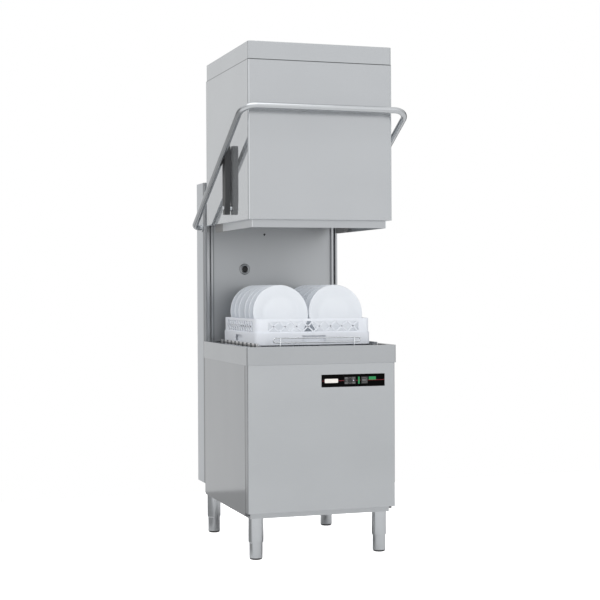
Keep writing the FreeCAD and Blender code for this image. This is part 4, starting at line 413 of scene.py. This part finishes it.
# ---- Wash tank -----------------------------------------------------------------------
# A welded tray under the mouth with a folded tub below it, slotted scrap trays over the
# tub, and a strainer, a heating element and an overflow tube in it, all plain stainless.
tank_steel = brushed("tank steel", 0.40, "y", 0.34, mottle=0.06)
dress(tank_steel, "wash_tank", "wash_tub", "sump_strainer", "filter_trays")
element_steel = brushed("element steel", 0.30, "x", 0.42)
refined("heating_element", "tank_heater", "machine", "bright_steel", element_steel)
overflow_plastic = Finish("grey pipe plastic", Roughness=0.45)
fleck = overflow_plastic.noise(overflow_plastic.place(), 90.0, 3.0)
overflow_plastic.feed("Base Color", overflow_plastic.blend(fleck, grey(0.10), grey(0.13)))
overflow_plastic.bump(fleck, 0.00005, 0.4)
refined("overflow_tube", "overflow_pipe", "overflow", "dark_plastic", overflow_plastic)


# ---- Spray pipes and arms ------------------------------------------------------------
# Stainless pipes bring water to a spindle below the rack and one above it. A flattened
# wash arm and a thin rinse arm with raised nozzles turn on each.
pipe_steel = brushed("pipe steel", 0.55, "z", 0.24)
for name, node in (("wash_column", "wash_riser"), ("lower_spindle", "lower_standpipe"),
                   ("rinse_feed", "rinse_pipe"), ("pump_outlet_pipe", "delivery_pipe")):
    refined(name, node, "machine", "steel", pipe_steel)
arm_steel = brushed("spray arm steel", 0.58, "x", 0.26)
for place in ("lower", "upper"):
    for kind in ("wash", "rinse"):
        refined(f"{kind}_rotor_{place}", f"{kind}_arm_{place}", f"{place}_{kind}_arm", "steel", arm_steel)


# ---- Pump, boiler and fittings -------------------------------------------------------
# The works inside the cabinet: a painted pump motor with a moulded volute, rubber and
# moulded hoses, a plain steel boiler, the water valve, the drain pump and two dosers.
PORES, PORE_DEPTH = 700.0, 0.00006


def moulded(name, dark, light, rough, warm=0.0):
    """Moulded plastic with a fine spark-eroded texture."""
    plastic = Finish(name)
    pores = plastic.noise(plastic.place(), PORES, 2.0, 0.6)
    cloud = plastic.noise(plastic.place(), 6.0, 3.0)
    patches = pores * 0.5 + cloud * 0.5
    plastic.feed("Base Color", plastic.blend(patches, grey(dark, warm), grey(light, warm)))
    plastic.feed("Roughness", pores * 0.10 + (rough - 0.05))
    plastic.bump(pores, PORE_DEPTH, 0.35)
    return plastic


motor_paint = moulded("machine paint", 0.045, 0.060, 0.42)
refined("motor_case", "pump_motor", "machine", "machine_paint", motor_paint, edge=0.001)
works_plastic = moulded("works plastic", 0.022, 0.036, 0.46)
for name, node in (("volute_case", "pump_volute"), ("rubber_hose", "suction_hose"),
                   ("drain_unit", "drain_pump"), ("water_valve", "inlet_valve"),
                   ("gland", "cable_gland"), ("doser_set", "dosing_pumps")):
    refined(name, node, "machine", "dark_plastic", works_plastic, edge=0.0008)
refined("boiler_shell", "boiler", "machine", "steel", brushed("boiler steel", 0.48, "z", 0.36))
dress(works_plastic, "control_box")


# ---- Control panel -------------------------------------------------------------------
# A black panel let into the front, crossed by a thin red line. It carries a bare pale
# badge plate, a start button in a bezel, a green light, a mains switch and a green display.
def eased(shape, verts, width, steps, along):
    """Rounds those edges of a block that run along an axis."""
    edges = list(dict.fromkeys(edge for vert in verts for edge in vert.link_edges))
    way = Vector(along)
    edges = [e for e in edges if abs((e.verts[1].co - e.verts[0].co).normalized().dot(way)) > 0.99]
    bevelled(shape, edges, width, steps)


fascia_black = Finish("panel black", Specular_IOR_Level=0.02)
haze = fascia_black.noise(fascia_black.place(), 55.0, 3.0)
fascia_black.feed("Base Color", fascia_black.blend(haze, grey(0.0012), grey(0.0030)))
fascia_black.feed("Roughness", haze * 0.06 + 0.34)
dress(fascia_black, "control_fascia")
panel_low, panel_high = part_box("control_fascia")
panel_face, panel_mid = panel_low.y, (panel_low.z + panel_high.z) / 2
PRINT = 0.0002

red_line = Finish("panel red line", Roughness=0.4)
red_grain = red_line.noise(red_line.place(), 300.0, 2.0)
red_line.feed("Base Color", red_line.blend(red_grain, (0.16, 0.004, 0.010, 1.0), (0.24, 0.008, 0.016, 1.0)))
line = bmesh.new()
window_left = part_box("fascia_windows")[0].x
bezel_low, bezel_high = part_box("button_bezel")
power_low, power_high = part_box("power_button")
LINE_HALF, LINE_MARGIN, LIGHT_WIDE = 0.0008, 0.0015, 0.007
for start, end in ((panel_low.x + LINE_MARGIN, bezel_low.x), (bezel_high.x, window_left),
                   (window_left + LIGHT_WIDE, power_low.x - LINE_MARGIN),
                   (power_high.x + LINE_MARGIN, panel_high.x - LINE_MARGIN)):
    block(line, (start, panel_face - PRINT, panel_mid - LINE_HALF), (end, panel_face, panel_mid + LINE_HALF))
piece("panel_red_line", line, "machine", "fascia_black", red_line)

badge_white = Finish("badge enamel", Roughness=0.35)
enamel = badge_white.noise(badge_white.place(), 40.0, 3.0)
badge_white.feed("Base Color", badge_white.blend(enamel, (0.74, 0.70, 0.66, 1.0), (0.82, 0.79, 0.75, 1.0)))
badge = bmesh.new()
BADGE_LEFT, BADGE_WIDTH, BADGE_HALF, BADGE_PROUD = 0.0130, 0.057, 0.0083, 0.0007
plate = block(badge, (panel_low.x + BADGE_LEFT, panel_face - BADGE_PROUD, panel_mid - BADGE_HALF),
              (panel_low.x + BADGE_LEFT + BADGE_WIDTH, panel_face, panel_mid + BADGE_HALF))
eased(badge, plate, 0.003, 4, along=(0.0, 1.0, 0.0))
piece("badge_plate", badge, "machine", "grey_plastic", badge_white)

window_green = Finish("lit green window", Roughness=0.25)
cells = window_green.noise(window_green.place(), 260.0, 2.0)
pane = window_green.blend(cells, (0.004, 0.15, 0.040, 1.0), (0.008, 0.22, 0.060, 1.0))
light = window_green.blend(cells, (0.003, 0.24, 0.07, 1.0), (0.006, 0.34, 0.11, 1.0))
window_green.feed("Base Color", pane)
window_green.feed("Emission Color", light)
window_green.shader.inputs["Emission Strength"].default_value = 0.12
dress(window_green, "fascia_windows")

bezel_grey = moulded("bezel grey", 0.004, 0.008, 0.40)
refined("button_frame", "button_bezel", "machine", "grey_plastic", bezel_grey, edge=0.0004)
button_black = moulded("button black", 0.006, 0.010, 0.34)
refined("program_key", "program_button", "start_button", "dark_plastic", button_black, edge=0.0006)
power_grey = moulded("switch grey", 0.007, 0.012, 0.38)
refined("power_key", "power_button", "switch_button", "grey_plastic", power_grey, edge=0.0008)

mark_grey = Finish("pale print", Roughness=0.4)
ink = mark_grey.noise(mark_grey.place(), 500.0, 2.0)
mark_grey.feed("Base Color", mark_grey.blend(ink, grey(0.24), grey(0.34)))
marks = bmesh.new()
bezel_mid = (bezel_low.x + bezel_high.x) / 2
bezel_face, power_face = bezel_low.y, power_low.y
MARK_HALF, ROW_PITCH, MARK_OUT, LONG_MARK, SHORT_MARK = 0.0005, 0.0030, 0.0160, 0.0062, 0.0036
for side in (-1, 1):
    for row in (-4, -3, -2, 0, 2, 3, 4):
        half_length = LONG_MARK if abs(row) > 2 else SHORT_MARK
        centre_x, centre_z = bezel_mid + side * MARK_OUT, panel_mid + row * ROW_PITCH
        block(marks, (centre_x - half_length, bezel_face - PRINT, centre_z - MARK_HALF),
              (centre_x + half_length, bezel_face, centre_z + MARK_HALF))
RING_INNER, RING_OUTER = 0.0108, 0.0114
turned(marks, [(RING_INNER, 0.0), (RING_INNER, PRINT), (RING_OUTER, PRINT), (RING_OUTER, 0.0)],
       (bezel_mid, bezel_face, panel_mid), axis=(0.0, -1.0, 0.0))
piece("bezel_marks", marks, "machine", "grey_plastic", mark_grey)
strokes = bmesh.new()
power_mid = (power_low.x + power_high.x) / 2
BAR_LEFT, BAR_RIGHT, RAIL_LEFT, RAIL_RIGHT, RAIL_HALF = 0.0100, 0.0070, 0.0100, 0.0110, 0.0110
for row in (-3, -1, 0, 1, 3):
    height = panel_mid + row * ROW_PITCH
    block(strokes, (power_mid - BAR_LEFT, power_face - PRINT, height - MARK_HALF),
          (power_mid + BAR_RIGHT, power_face, height + MARK_HALF))
block(strokes, (power_mid + RAIL_LEFT, power_face - PRINT, panel_mid - RAIL_HALF),
      (power_mid + RAIL_RIGHT, power_face, panel_mid + RAIL_HALF))
piece("switch_marks", strokes, "switch_button", "grey_plastic", mark_grey)

lamp_white = Finish("white signal lamp", Roughness=0.3)
glow = lamp_white.noise(lamp_white.place(), 400.0, 2.0)
lamp_white.feed("Base Color", lamp_white.blend(glow, (0.70, 0.64, 0.82, 1.0), (0.86, 0.82, 0.94, 1.0)))
signal = bmesh.new()
LAMP_OUT = 0.0150
turned(signal, [(0.0, 0.0010), (0.0012, 0.0009), (0.0020, 0.0004), (0.0022, 0.0)],
       (bezel_mid + LAMP_OUT, bezel_face, panel_mid), steps=24, axis=(0.0, -1.0, 0.0))
piece("signal_lamp", closed(signal), "machine", "grey_plastic", lamp_white)


# ---- Guide posts and back wall -------------------------------------------------------
# Two folded channels stand at the deck's back and guide the hood's shoes. A plain sheet
# closes the gap between them, with a plugged port ring and a small vent in it.
dress(brushed("post steel", 0.42, "z", 0.30, mottle=0.03), "guide_posts")
FOLD_SHADE = 0.0100
# Painted shade and reflection: a darker band down the wall's left edge, beside the post's fold.
wall_steel = brushed("back wall steel", 0.425, "z", 0.38, mottle=0.03,
                     shade_line=("x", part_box("back_wall")[0].x, FOLD_SHADE, 0.55))
wall_steel.shader.inputs["Metallic"].default_value = 0.80
dress(wall_steel, "back_wall")
ring_steel = brushed("port ring steel", 0.30, "x", 0.32)
plug_black = moulded("plug black", 0.004, 0.008, 0.5)
port_low, port_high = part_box("port_fitting")
port = bmesh.new()
port_middle = ((port_low.x + port_high.x) / 2, port_high.y, (port_low.z + port_high.z) / 2)
port_radius, port_reach = (port_high.x - port_low.x) / 2, port_high.y - port_low.y
PLUG_RADIUS, BARREL_RADIUS, WALL_BACK, PLUG_PROUD = 0.0130, 0.0160, 0.0050, 0.0030
ring_face = port_reach - PLUG_PROUD
turned(port, [(0.0, port_reach - 0.0006), (PLUG_RADIUS - 0.0025, port_reach),
              (PLUG_RADIUS, port_reach - 0.0016), (PLUG_RADIUS, ring_face),
              (PLUG_RADIUS + 0.0014, ring_face - 0.0012), (PLUG_RADIUS + 0.0040, ring_face),
              (port_radius - 0.0035, ring_face), (port_radius, WALL_BACK + 0.0012),
              (port_radius, WALL_BACK), (BARREL_RADIUS, WALL_BACK), (BARREL_RADIUS, 0.0), (0.0, 0.0)],
       port_middle, axis=(0.0, -1.0, 0.0))
for face in port.faces:
    centre = face.calc_center_median() - Vector(port_middle)
    if Vector((centre.x, centre.z)).length < PLUG_RADIUS + 0.0003 and -centre.y > WALL_BACK:
        face.material_index = 1
# Painted shade: a near-black cup closes the vent's hole from behind, standing in for the dark inside the
# column.
VENT_X, VENT_DROP, VENT_CUP, VENT_DEEP = -0.0360, 0.0355, 0.0058, 0.0044
vent_middle = (VENT_X, port_high.y - WALL_BACK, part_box("hood_shell")[0].z - VENT_DROP)
vent = bmesh.new()
turned(vent, [(0.0, 0.0020), (VENT_CUP * 0.6, 0.0016), (VENT_CUP * 0.75, 0.0), (VENT_CUP, 0.0),
              (VENT_CUP, 0.0030), (VENT_CUP * 0.8, VENT_DEEP), (0.0, VENT_DEEP)],
       vent_middle, steps=24, axis=(0.0, 1.0, 0.0))
piece("vent_shade_cup", closed(vent), "machine", "dark_plastic", plug_black)
port_ring = piece("port_ring", closed(port), "machine", "grey_plastic", ring_steel, plug_black)
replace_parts(port_ring, "port_fitting")


# ---- Rear column ---------------------------------------------------------------------
# A folded steel casing behind the deck, with a louvred cover held on by eight pan-head
# screws. The riser, the balance springs and the connections are inside it. Its steel is
# painted much lighter than the rest, painted light for its brightly lit left face, with a
# wide band of painted shade down its front edge.
# Painted light: a much lighter level than the other steel; painted shade: a wide darker band down the front
# edge.
casing_steel = brushed("casing steel", 0.78, "z", 0.40, mottle=0.02,
                       shade_line=("y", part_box("rear_casing")[0].y, 0.0240, 0.50))
dress(casing_steel, "rear_casing", "rear_cover")
screw_steel = brushed("screw steel", 0.62, "x", 0.22)
screws = bmesh.new()
screw_low, screw_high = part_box("cover_screws")
HEAD, thick, SCREWS_A_SIDE = 0.0045, screw_high.y - screw_low.y, 4
head_section = [(0.0, thick * 0.45), (HEAD * 0.30, thick * 0.50), (HEAD * 0.36, thick * 0.98),
                (HEAD * 0.70, thick * 0.90), (HEAD * 0.95, thick * 0.45), (HEAD, 0.0), (0.0, 0.0)]
for x in (screw_low.x + HEAD, screw_high.x - HEAD):
    for step in range(SCREWS_A_SIDE):
        z = screw_low.z + HEAD + step * (screw_high.z - screw_low.z - 2 * HEAD) / (SCREWS_A_SIDE - 1)
        turned(screws, head_section, (x, screw_low.y, z), steps=16, axis=(0.0, 1.0, 0.0))
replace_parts(piece("pan_screws", closed(screws), "machine", "bright_steel", screw_steel), "cover_screws")


# ---- Hood ----------------------------------------------------------------------------
# A double-walled box of brushed sheet, open below and at the back, under a separate
# folded cap. Its inner skin drops below the outer one as a lip that goes into the deck.
# The hood's left and right faces are much lighter than its front, painted light for how light falls on them,
# and a painted shade line runs round at the cap's joint.
hood_steel = brushed("hood steel", 0.435, "x", 0.22, mottle=0.03, sides=0.66, side_from=0.3000,
                     side_gloss=0.05, shade_line=("z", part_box("hood_shell")[1].z, 0.0022, 0.25))
hood_steel.shader.inputs["Metallic"].default_value = 0.75
dress(hood_steel, "hood_shell", "hood_cap")
LIP_INSET = 0.0225
# The lip's left and right faces are lighter than its front: painted light for how light falls on them.
liner_steel = brushed("liner steel", 0.42, "x", 0.30, mottle=0.03, sides=0.62,
                      side_from=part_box("hood_shell")[1].x - LIP_INSET)
dress(liner_steel, "hood_liner")


# ---- Guide shoes and blocks ----------------------------------------------------------
# Slippery moulded blocks: four on the hood's back edge run in the posts, and two inside
# its lip steady it on the rack's track, each held by one large screw.
dress(works_plastic, "guide_shoes")
BLOCK_TO_LIP, END_ROUND = 0.0148, 0.0035
block_plastic = moulded("guide block plastic", 0.20, 0.27, 0.42)
lip_blocks = refined("lip_blocks", "lip_guide_blocks", "hood", "dark_plastic", block_plastic, edge=0.0010)
front_end = min(vert.co.y for vert in lip_blocks.data.vertices)
block_foot, lip_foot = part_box("lip_guide_blocks")[0].z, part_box("hood_liner")[0].z
for vert in lip_blocks.data.vertices:
    if vert.co.y < front_end + END_ROUND:
        vert.co.y -= BLOCK_TO_LIP
    if vert.co.z < block_foot + END_ROUND:
        vert.co.z -= block_foot - lip_foot


# ---- Handle --------------------------------------------------------------------------
# One bent stainless tube round three sides of the hood, fixed to a cross shaft that turns
# in flanged bushes in the column.
tube_steel = brushed("handle tube steel", 0.52, "x", 0.20, mottle=0.02)
refined("handle_tube", "handle_bar", "handle", "bright_steel", tube_steel)
refined("cross_shaft", "handle_shaft", "handle", "bright_steel", tube_steel, edge=0.0006)
refined("shaft_bushes", "pivot_bushes", "machine", "bright_steel", screw_steel, edge=0.0006)


# ---- Balance springs -----------------------------------------------------------------
# A close-coiled spring each side hangs between the shaft's lever and an anchor in the
# column, and carries the hood's weight. Each is one wire with a straight hook at each end.
spring_steel = brushed("spring wire steel", 0.34, "z", 0.30)
springs = bmesh.new()
spring_low, spring_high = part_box("balance_springs")
coil_radius = (spring_high.y - spring_low.y) / 2
WIRE, TURN_STEPS, LOW_HOOK, HIGH_HOOK = 0.0015, 14, 0.012, 0.014
centre_y = (spring_low.y + spring_high.y) / 2
coil_low, coil_high = spring_low.z + LOW_HOOK, spring_high.z - HIGH_HOOK
turns = int((coil_high - coil_low) / (2 * WIRE))
pitch = (coil_high - coil_low) / turns
for centre_x in (spring_low.x + coil_radius, spring_high.x - coil_radius):
    start = Matrix.Translation((centre_x + coil_radius - WIRE, centre_y, coil_low))
    wire = bmesh.ops.create_circle(springs, segments=6, radius=WIRE,
                                   matrix=start @ Matrix.Rotation(pi / 2, 4, "X"))
    first = wire["verts"] + list({edge for vert in wire["verts"] for edge in vert.link_edges})
    before = set(springs.verts) - set(wire["verts"])
    bmesh.ops.spin(springs, geom=first, cent=(centre_x, centre_y, coil_low), axis=(0, 0, 1),
                   dvec=(0, 0, pitch / TURN_STEPS), angle=2 * pi, steps=TURN_STEPS, use_merge=False,
                   use_normal_flip=False, use_duplicate=False)
    one_turn = [vert for vert in springs.verts if vert not in before]
    one_turn += list({edge for vert in one_turn for edge in vert.link_edges}) + list(
        {face for vert in one_turn for face in vert.link_faces})
    for number in range(1, turns):
        copy = bmesh.ops.duplicate(springs, geom=one_turn)["geom"]
        bmesh.ops.translate(springs, vec=(0, 0, pitch * number),
                            verts=[part for part in copy if isinstance(part, bmesh.types.BMVert)])
    for low_z, high_z in ((spring_low.z, coil_low + WIRE), (coil_high - WIRE, spring_high.z)):
        length = high_z - low_z
        turned(springs, [(0.0, 0.0), (WIRE * 1.6, 0.0), (coil_radius * 0.15, length * 0.5),
                         (WIRE * 1.6, length), (0.0, length)], (centre_x, centre_y, low_z), steps=12)
bmesh.ops.holes_fill(springs, edges=[e for e in springs.edges if e.is_boundary], sides=8)
coils = piece("coil_springs", closed(springs), "machine", "bright_steel", spring_steel)
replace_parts(coils, "balance_springs")


# ---- Lift links ----------------------------------------------------------------------
# Dark moulded arms between the handle and the hood's sides, tapered at the foot and
# chamfered at the head. Each turns on a steel stud with a flat head.
link_plastic = moulded("link plastic", 0.026, 0.042, 0.42, warm=-0.06)
refined("moulded_links", "lift_links", "links", "dark_plastic", link_plastic, edge=0.0022, steps=3)
refined("link_studs", "link_pins", "hood", "bright_steel", screw_steel, edge=0.0005)


# ---- Rack track and stop wire --------------------------------------------------------
# Notched steel side guides with ledges carry the rack over the tank. A long wire loop in
# two clips at the front keeps the rack from sliding out. The guides' outer faces are
# painted near white between their notches, a painted highlight against the notches' shade.
track_steel = brushed("track steel", 0.30, "y", 0.30)
NOTCH_PITCH, NOTCH_SHARE, FIRST_NOTCH, GUIDE_WALL = 0.060, 0.42, 0.025, 0.0020
track_low, track_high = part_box("rack_track")
# Painted highlight: near white on the guides' outer faces between the notches.
outward = track_steel.node("ShaderNodeMath", {"operation": "ABSOLUTE"}, [track_steel.along("x")])
outside = outward > track_high.x - GUIDE_WALL
from_notch = track_steel.along("y") - (track_low.y + FIRST_NOTCH)
wave = track_steel.node("ShaderNodeMath", {"operation": "PINGPONG"}, [from_notch, NOTCH_PITCH / 2])
between = wave > NOTCH_PITCH / 2 * NOTCH_SHARE
track_steel.feed("Base Color", track_steel.blend(outside * between, track_steel.colour, grey(0.95)))
refined("track_frame", "rack_track", "machine", "steel", track_steel, edge=0.0005)
wire_steel = brushed("wire steel", 0.70, "x", 0.20)
refined("stop_loop", "rack_stop_wire", "machine", "bright_steel", wire_steel, edge=0.0004)


# ---- Rack ----------------------------------------------------------------------------
# One injection moulding in pale plastic: a plain lower band with hand slots, a stepped-in
# upper band of crossed slats, a gridded floor and rows of tapered fingers for the plates.
rack_plastic = Finish("rack plastic", Roughness=0.42)
frost = rack_plastic.noise(rack_plastic.place(), 26.0, 3.0)
grain = rack_plastic.noise(rack_plastic.place(), 600.0, 2.0)
rack_plastic.feed("Base Color", rack_plastic.blend(frost, (0.74, 0.77, 0.83, 1.0), (0.79, 0.82, 0.87, 1.0)))
rack_plastic.bump(grain, 0.00005, 0.3)
rack_low, rack_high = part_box("rack_basket")
rack_mid = (rack_low + rack_high) / 2
HALF, STEP_IN, STEP_HEIGHT = (rack_high.x - rack_low.x) / 2, 0.003, 0.050
CORNER, BAND_WALL, SLAT, FLOOR_RIB = 0.026, 0.0038, 0.0034, 0.012
step_z = rack_low.z + STEP_HEIGHT
rack = bmesh.new()


def band(reach, low_z, high_z, cuts):
    """A rounded square wall; each cut is (from, to, low, high) along every side."""
    shape = bmesh.new()
    walls = block(shape, (rack_mid.x - reach, rack_mid.y - reach, low_z),
                  (rack_mid.x + reach, rack_mid.y + reach, high_z))
    eased(shape, walls, CORNER, 6, along=(0.0, 0.0, 1.0))
    bmesh.ops.delete(shape, geom=[f for f in shape.faces if abs(f.normal.z) > 0.9], context="FACES_ONLY")
    for start, end, low, high in cuts:
        planes = [((1, 0, 0), rack_mid.x + at) for at in (start, end)]
        planes += [((0, 1, 0), rack_mid.y + at) for at in (start, end)]
        planes += [((0, 0, 1), low), ((0, 0, 1), high)]
        for axis, at in planes:
            everything = shape.verts[:] + shape.edges[:] + shape.faces[:]
            bmesh.ops.bisect_plane(shape, geom=everything, dist=1e-6,
                                   plane_co=Vector(axis) * at, plane_no=axis)
        doomed = []
        for face in shape.faces:
            spot = face.calc_center_median() - rack_mid
            side = spot.x if abs(face.normal.y) > 0.9 else spot.y if abs(face.normal.x) > 0.9 else None
            if side is not None and start < side < end and low < face.calc_center_median().z < high:
                doomed.append(face)
        bmesh.ops.delete(shape, geom=doomed, context="FACES")
    bmesh.ops.recalc_face_normals(shape, faces=shape.faces)
    outward = sum((f.normal.dot(f.calc_center_median() - rack_mid) for f in shape.faces))
    bmesh.ops.solidify(shape, geom=shape.faces[:], thickness=BAND_WALL if outward > 0 else -BAND_WALL)
    return shape


def joined(shape, other):
    """Adds one bmesh to another."""
    bridge = bpy.data.meshes.new("bridge")
    other.to_mesh(bridge)
    other.free()
    shape.from_mesh(bridge)
    bpy.data.meshes.remove(bridge)


GRIP = 0.050
grip_low, grip_high = rack_low.z + 0.012, rack_low.z + 0.038
joined(rack, band(HALF, rack_low.z, step_z, [(-GRIP, GRIP, grip_low, grip_high)]))
LATTICE, SILL, RIM, BAND_LAP, SUNK = 0.196, 0.004, 0.010, 0.003, 0.001
open_low, open_high = step_z + SILL, rack_high.z - RIM
joined(rack, band(HALF - STEP_IN, step_z - BAND_LAP, rack_high.z, [(-LATTICE, LATTICE, open_low, open_high)]))
slat_low, slat_middle, slat_high = open_low - SUNK, (open_low + open_high) / 2, open_high + SUNK


def slat(shape, start, end, wide, deep, facing):
    """A flat bar between two points, its broad face turned to one side."""
    start, end, facing = Vector(start), Vector(end), Vector(facing)
    way = (end - start).normalized()
    turn = Matrix((way, facing.cross(way), facing)).transposed().to_4x4()
    size = Matrix.Diagonal(((end - start).length, wide, deep, 1.0))
    bmesh.ops.create_cube(shape, size=1.0, matrix=Matrix.Translation((start + end) / 2) @ turn @ size)


FRONT_CELLS, SIDE_CELLS, SLAT_WIDE, SIDE_SLAT, LEAN_SHARE = 8, 11, 0.0052, 0.0150, 0.4
POCKET, POCKET_PAST, POCKET_OVER, POCKET_WALL = 0.010, 0.045, 0.010, 0.002
to_mid, from_mid = Matrix.Translation(rack_mid), Matrix.Translation(-rack_mid)
for quarter in range(4):
    turn = to_mid @ Matrix.Rotation(quarter * pi / 2, 4, "Z") @ from_mid
    outward = turn.to_3x3() @ Vector((0.0, -1.0, 0.0))
    face_y, at_side = rack_mid.y - HALF + STEP_IN + BAND_WALL / 2, quarter % 2 == 1
    cells = SIDE_CELLS if at_side else FRONT_CELLS
    pitch_x = 2 * LATTICE / cells
    lean = pitch_x * (LEAN_SHARE if quarter == 3 else -LEAN_SHARE)
    bars = []
    for cell in range(cells):
        left = rack_mid.x - LATTICE + cell * pitch_x
        if at_side:
            bars += [((left, slat_high), (left + lean, slat_middle), SIDE_SLAT),
                     ((left, slat_middle), (left + lean, slat_low), SIDE_SLAT)]
        else:
            bars += [((left, slat_low), (left + pitch_x, slat_high), SLAT_WIDE),
                     ((left, slat_high), (left + pitch_x, slat_low), SLAT_WIDE)]
    if at_side:
        ends = rack_mid.x - LATTICE, rack_mid.x + LATTICE
        bars.append(((ends[0], slat_middle), (ends[1], slat_middle), SLAT_WIDE))
    for start, end, wide in bars:
        start, end = (turn @ Vector((x, face_y, z)) for x, z in (start, end))
        slat(rack, start, end, wide, SLAT, outward)
    pocket = GRIP + POCKET_PAST
    start, end = (turn @ Vector((x, rack_mid.y - HALF + POCKET, (grip_low + grip_high) / 2))
                  for x in (rack_mid.x - pocket, rack_mid.x + pocket))
    slat(rack, start, end, grip_high - grip_low + POCKET_OVER, POCKET_WALL, outward)
RIBS, RIB_HALF, ROW_RIB_HALF = 17, 0.0014, 0.004
well, rib_top = HALF - BAND_WALL, rack_low.z + FLOOR_RIB
for rib in range(RIBS):
    at = -well + (rib + 0.5) * 2 * well / RIBS
    block(rack, (rack_mid.x + at - RIB_HALF, rack_mid.y - well, rack_low.z),
          (rack_mid.x + at + RIB_HALF, rack_mid.y + well, rib_top))
    block(rack, (rack_mid.x - well, rack_mid.y + at - RIB_HALF, rack_low.z),
          (rack_mid.x + well, rack_mid.y + at + RIB_HALF, rib_top))
PLATE_ROWS = (0.068, 0.133, 0.198, 0.288, 0.353, 0.418)
FINGER_BEHIND, FINGER = 0.019, 0.046
finger_section = [(0.0, 0.0), (0.0034, 0.0), (0.0022, FINGER - 0.004), (0.0014, FINGER - 0.001),
                  (0.0, FINGER)]
for row in PLATE_ROWS:
    y = rack_low.y + row + FINGER_BEHIND
    block(rack, (rack_mid.x - well, y - ROW_RIB_HALF, rack_low.z),
          (rack_mid.x + well, y + ROW_RIB_HALF, rib_top))
    for x in (-0.195, -0.120, -0.045, 0.045, 0.120, 0.195):
        turned(rack, finger_section, (x, y, rib_top - SUNK), steps=10)
wash_rack = piece("wash_rack", closed(rack), "rack", "rack_plastic", rack_plastic, smooth=30.0)
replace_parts(wash_rack, "rack_basket")


# ---- Plates --------------------------------------------------------------------------
# Twelve white glazed plates, thrown round with a foot ring behind and a rolled rim, each
# standing on its edge in the rack and leaning back on the fingers.
glaze = Finish("white glaze", Roughness=0.16)
clay = glaze.noise(glaze.place(), 7.0, 3.0)
glaze.feed("Base Color", glaze.blend(clay, (0.71, 0.74, 0.78, 1.0), (0.75, 0.775, 0.81, 1.0)))
glaze.feed("Roughness", clay * 0.08 + 0.14)
# The glaze glows faintly: painted light that lifts the shade on and between the plates.
glaze.feed("Emission Color", glaze.blend(clay, (0.055, 0.060, 0.066, 1.0), (0.065, 0.070, 0.076, 1.0)))
glaze.shader.inputs["Emission Strength"].default_value = 1.0
PLATE_RADIUS, PLATE_THICK, PLATE_RISE, PLATE_LEAN = 0.118, 0.004, 0.016, radians(9.0)
COLUMN, SEAT = 0.120, 0.0003
r, t = PLATE_RADIUS, PLATE_THICK
lip = PLATE_RISE - 0.8 * t
section = [(0.0, 0.0), (r * 0.50, 0.0), (r * 0.60, -0.0006), (r * 0.68, -0.0042), (r * 0.76, -0.0078),
           (r * 0.90, -0.0126), (r * 0.975, -0.0156), (r * 0.992, -PLATE_RISE),
           (r, -PLATE_RISE + 0.0010), (r, -lip - 0.0006), (r * 0.985, -lip), (r * 0.90, -0.0088),
           (r * 0.76, -0.0036), (r * 0.68, -0.0004), (r * 0.62, t * 0.9), (r * 0.60, t * 1.3),
           (r * 0.56, t * 1.3), (r * 0.54, t), (0.0, t)]
crockery = bmesh.new()
foot_z = rib_top + SEAT - lip * sin(PLATE_LEAN)
for row in PLATE_ROWS:
    for x in (-COLUMN, COLUMN):
        dish = bmesh.new()
        turned(dish, section, (x, rack_low.y + row, foot_z + r), steps=72, axis=(0.0, 1.0, 0.0))
        foot = Matrix.Translation((x, rack_low.y + row, foot_z))
        lean = foot @ Matrix.Rotation(-PLATE_LEAN, 4, "X") @ foot.inverted()
        bmesh.ops.transform(dish, matrix=lean, verts=dish.verts)
        joined(crockery, dish)
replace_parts(piece("plate_set", closed(crockery), "rack", "white_glaze", glaze, smooth=50.0), "plates")
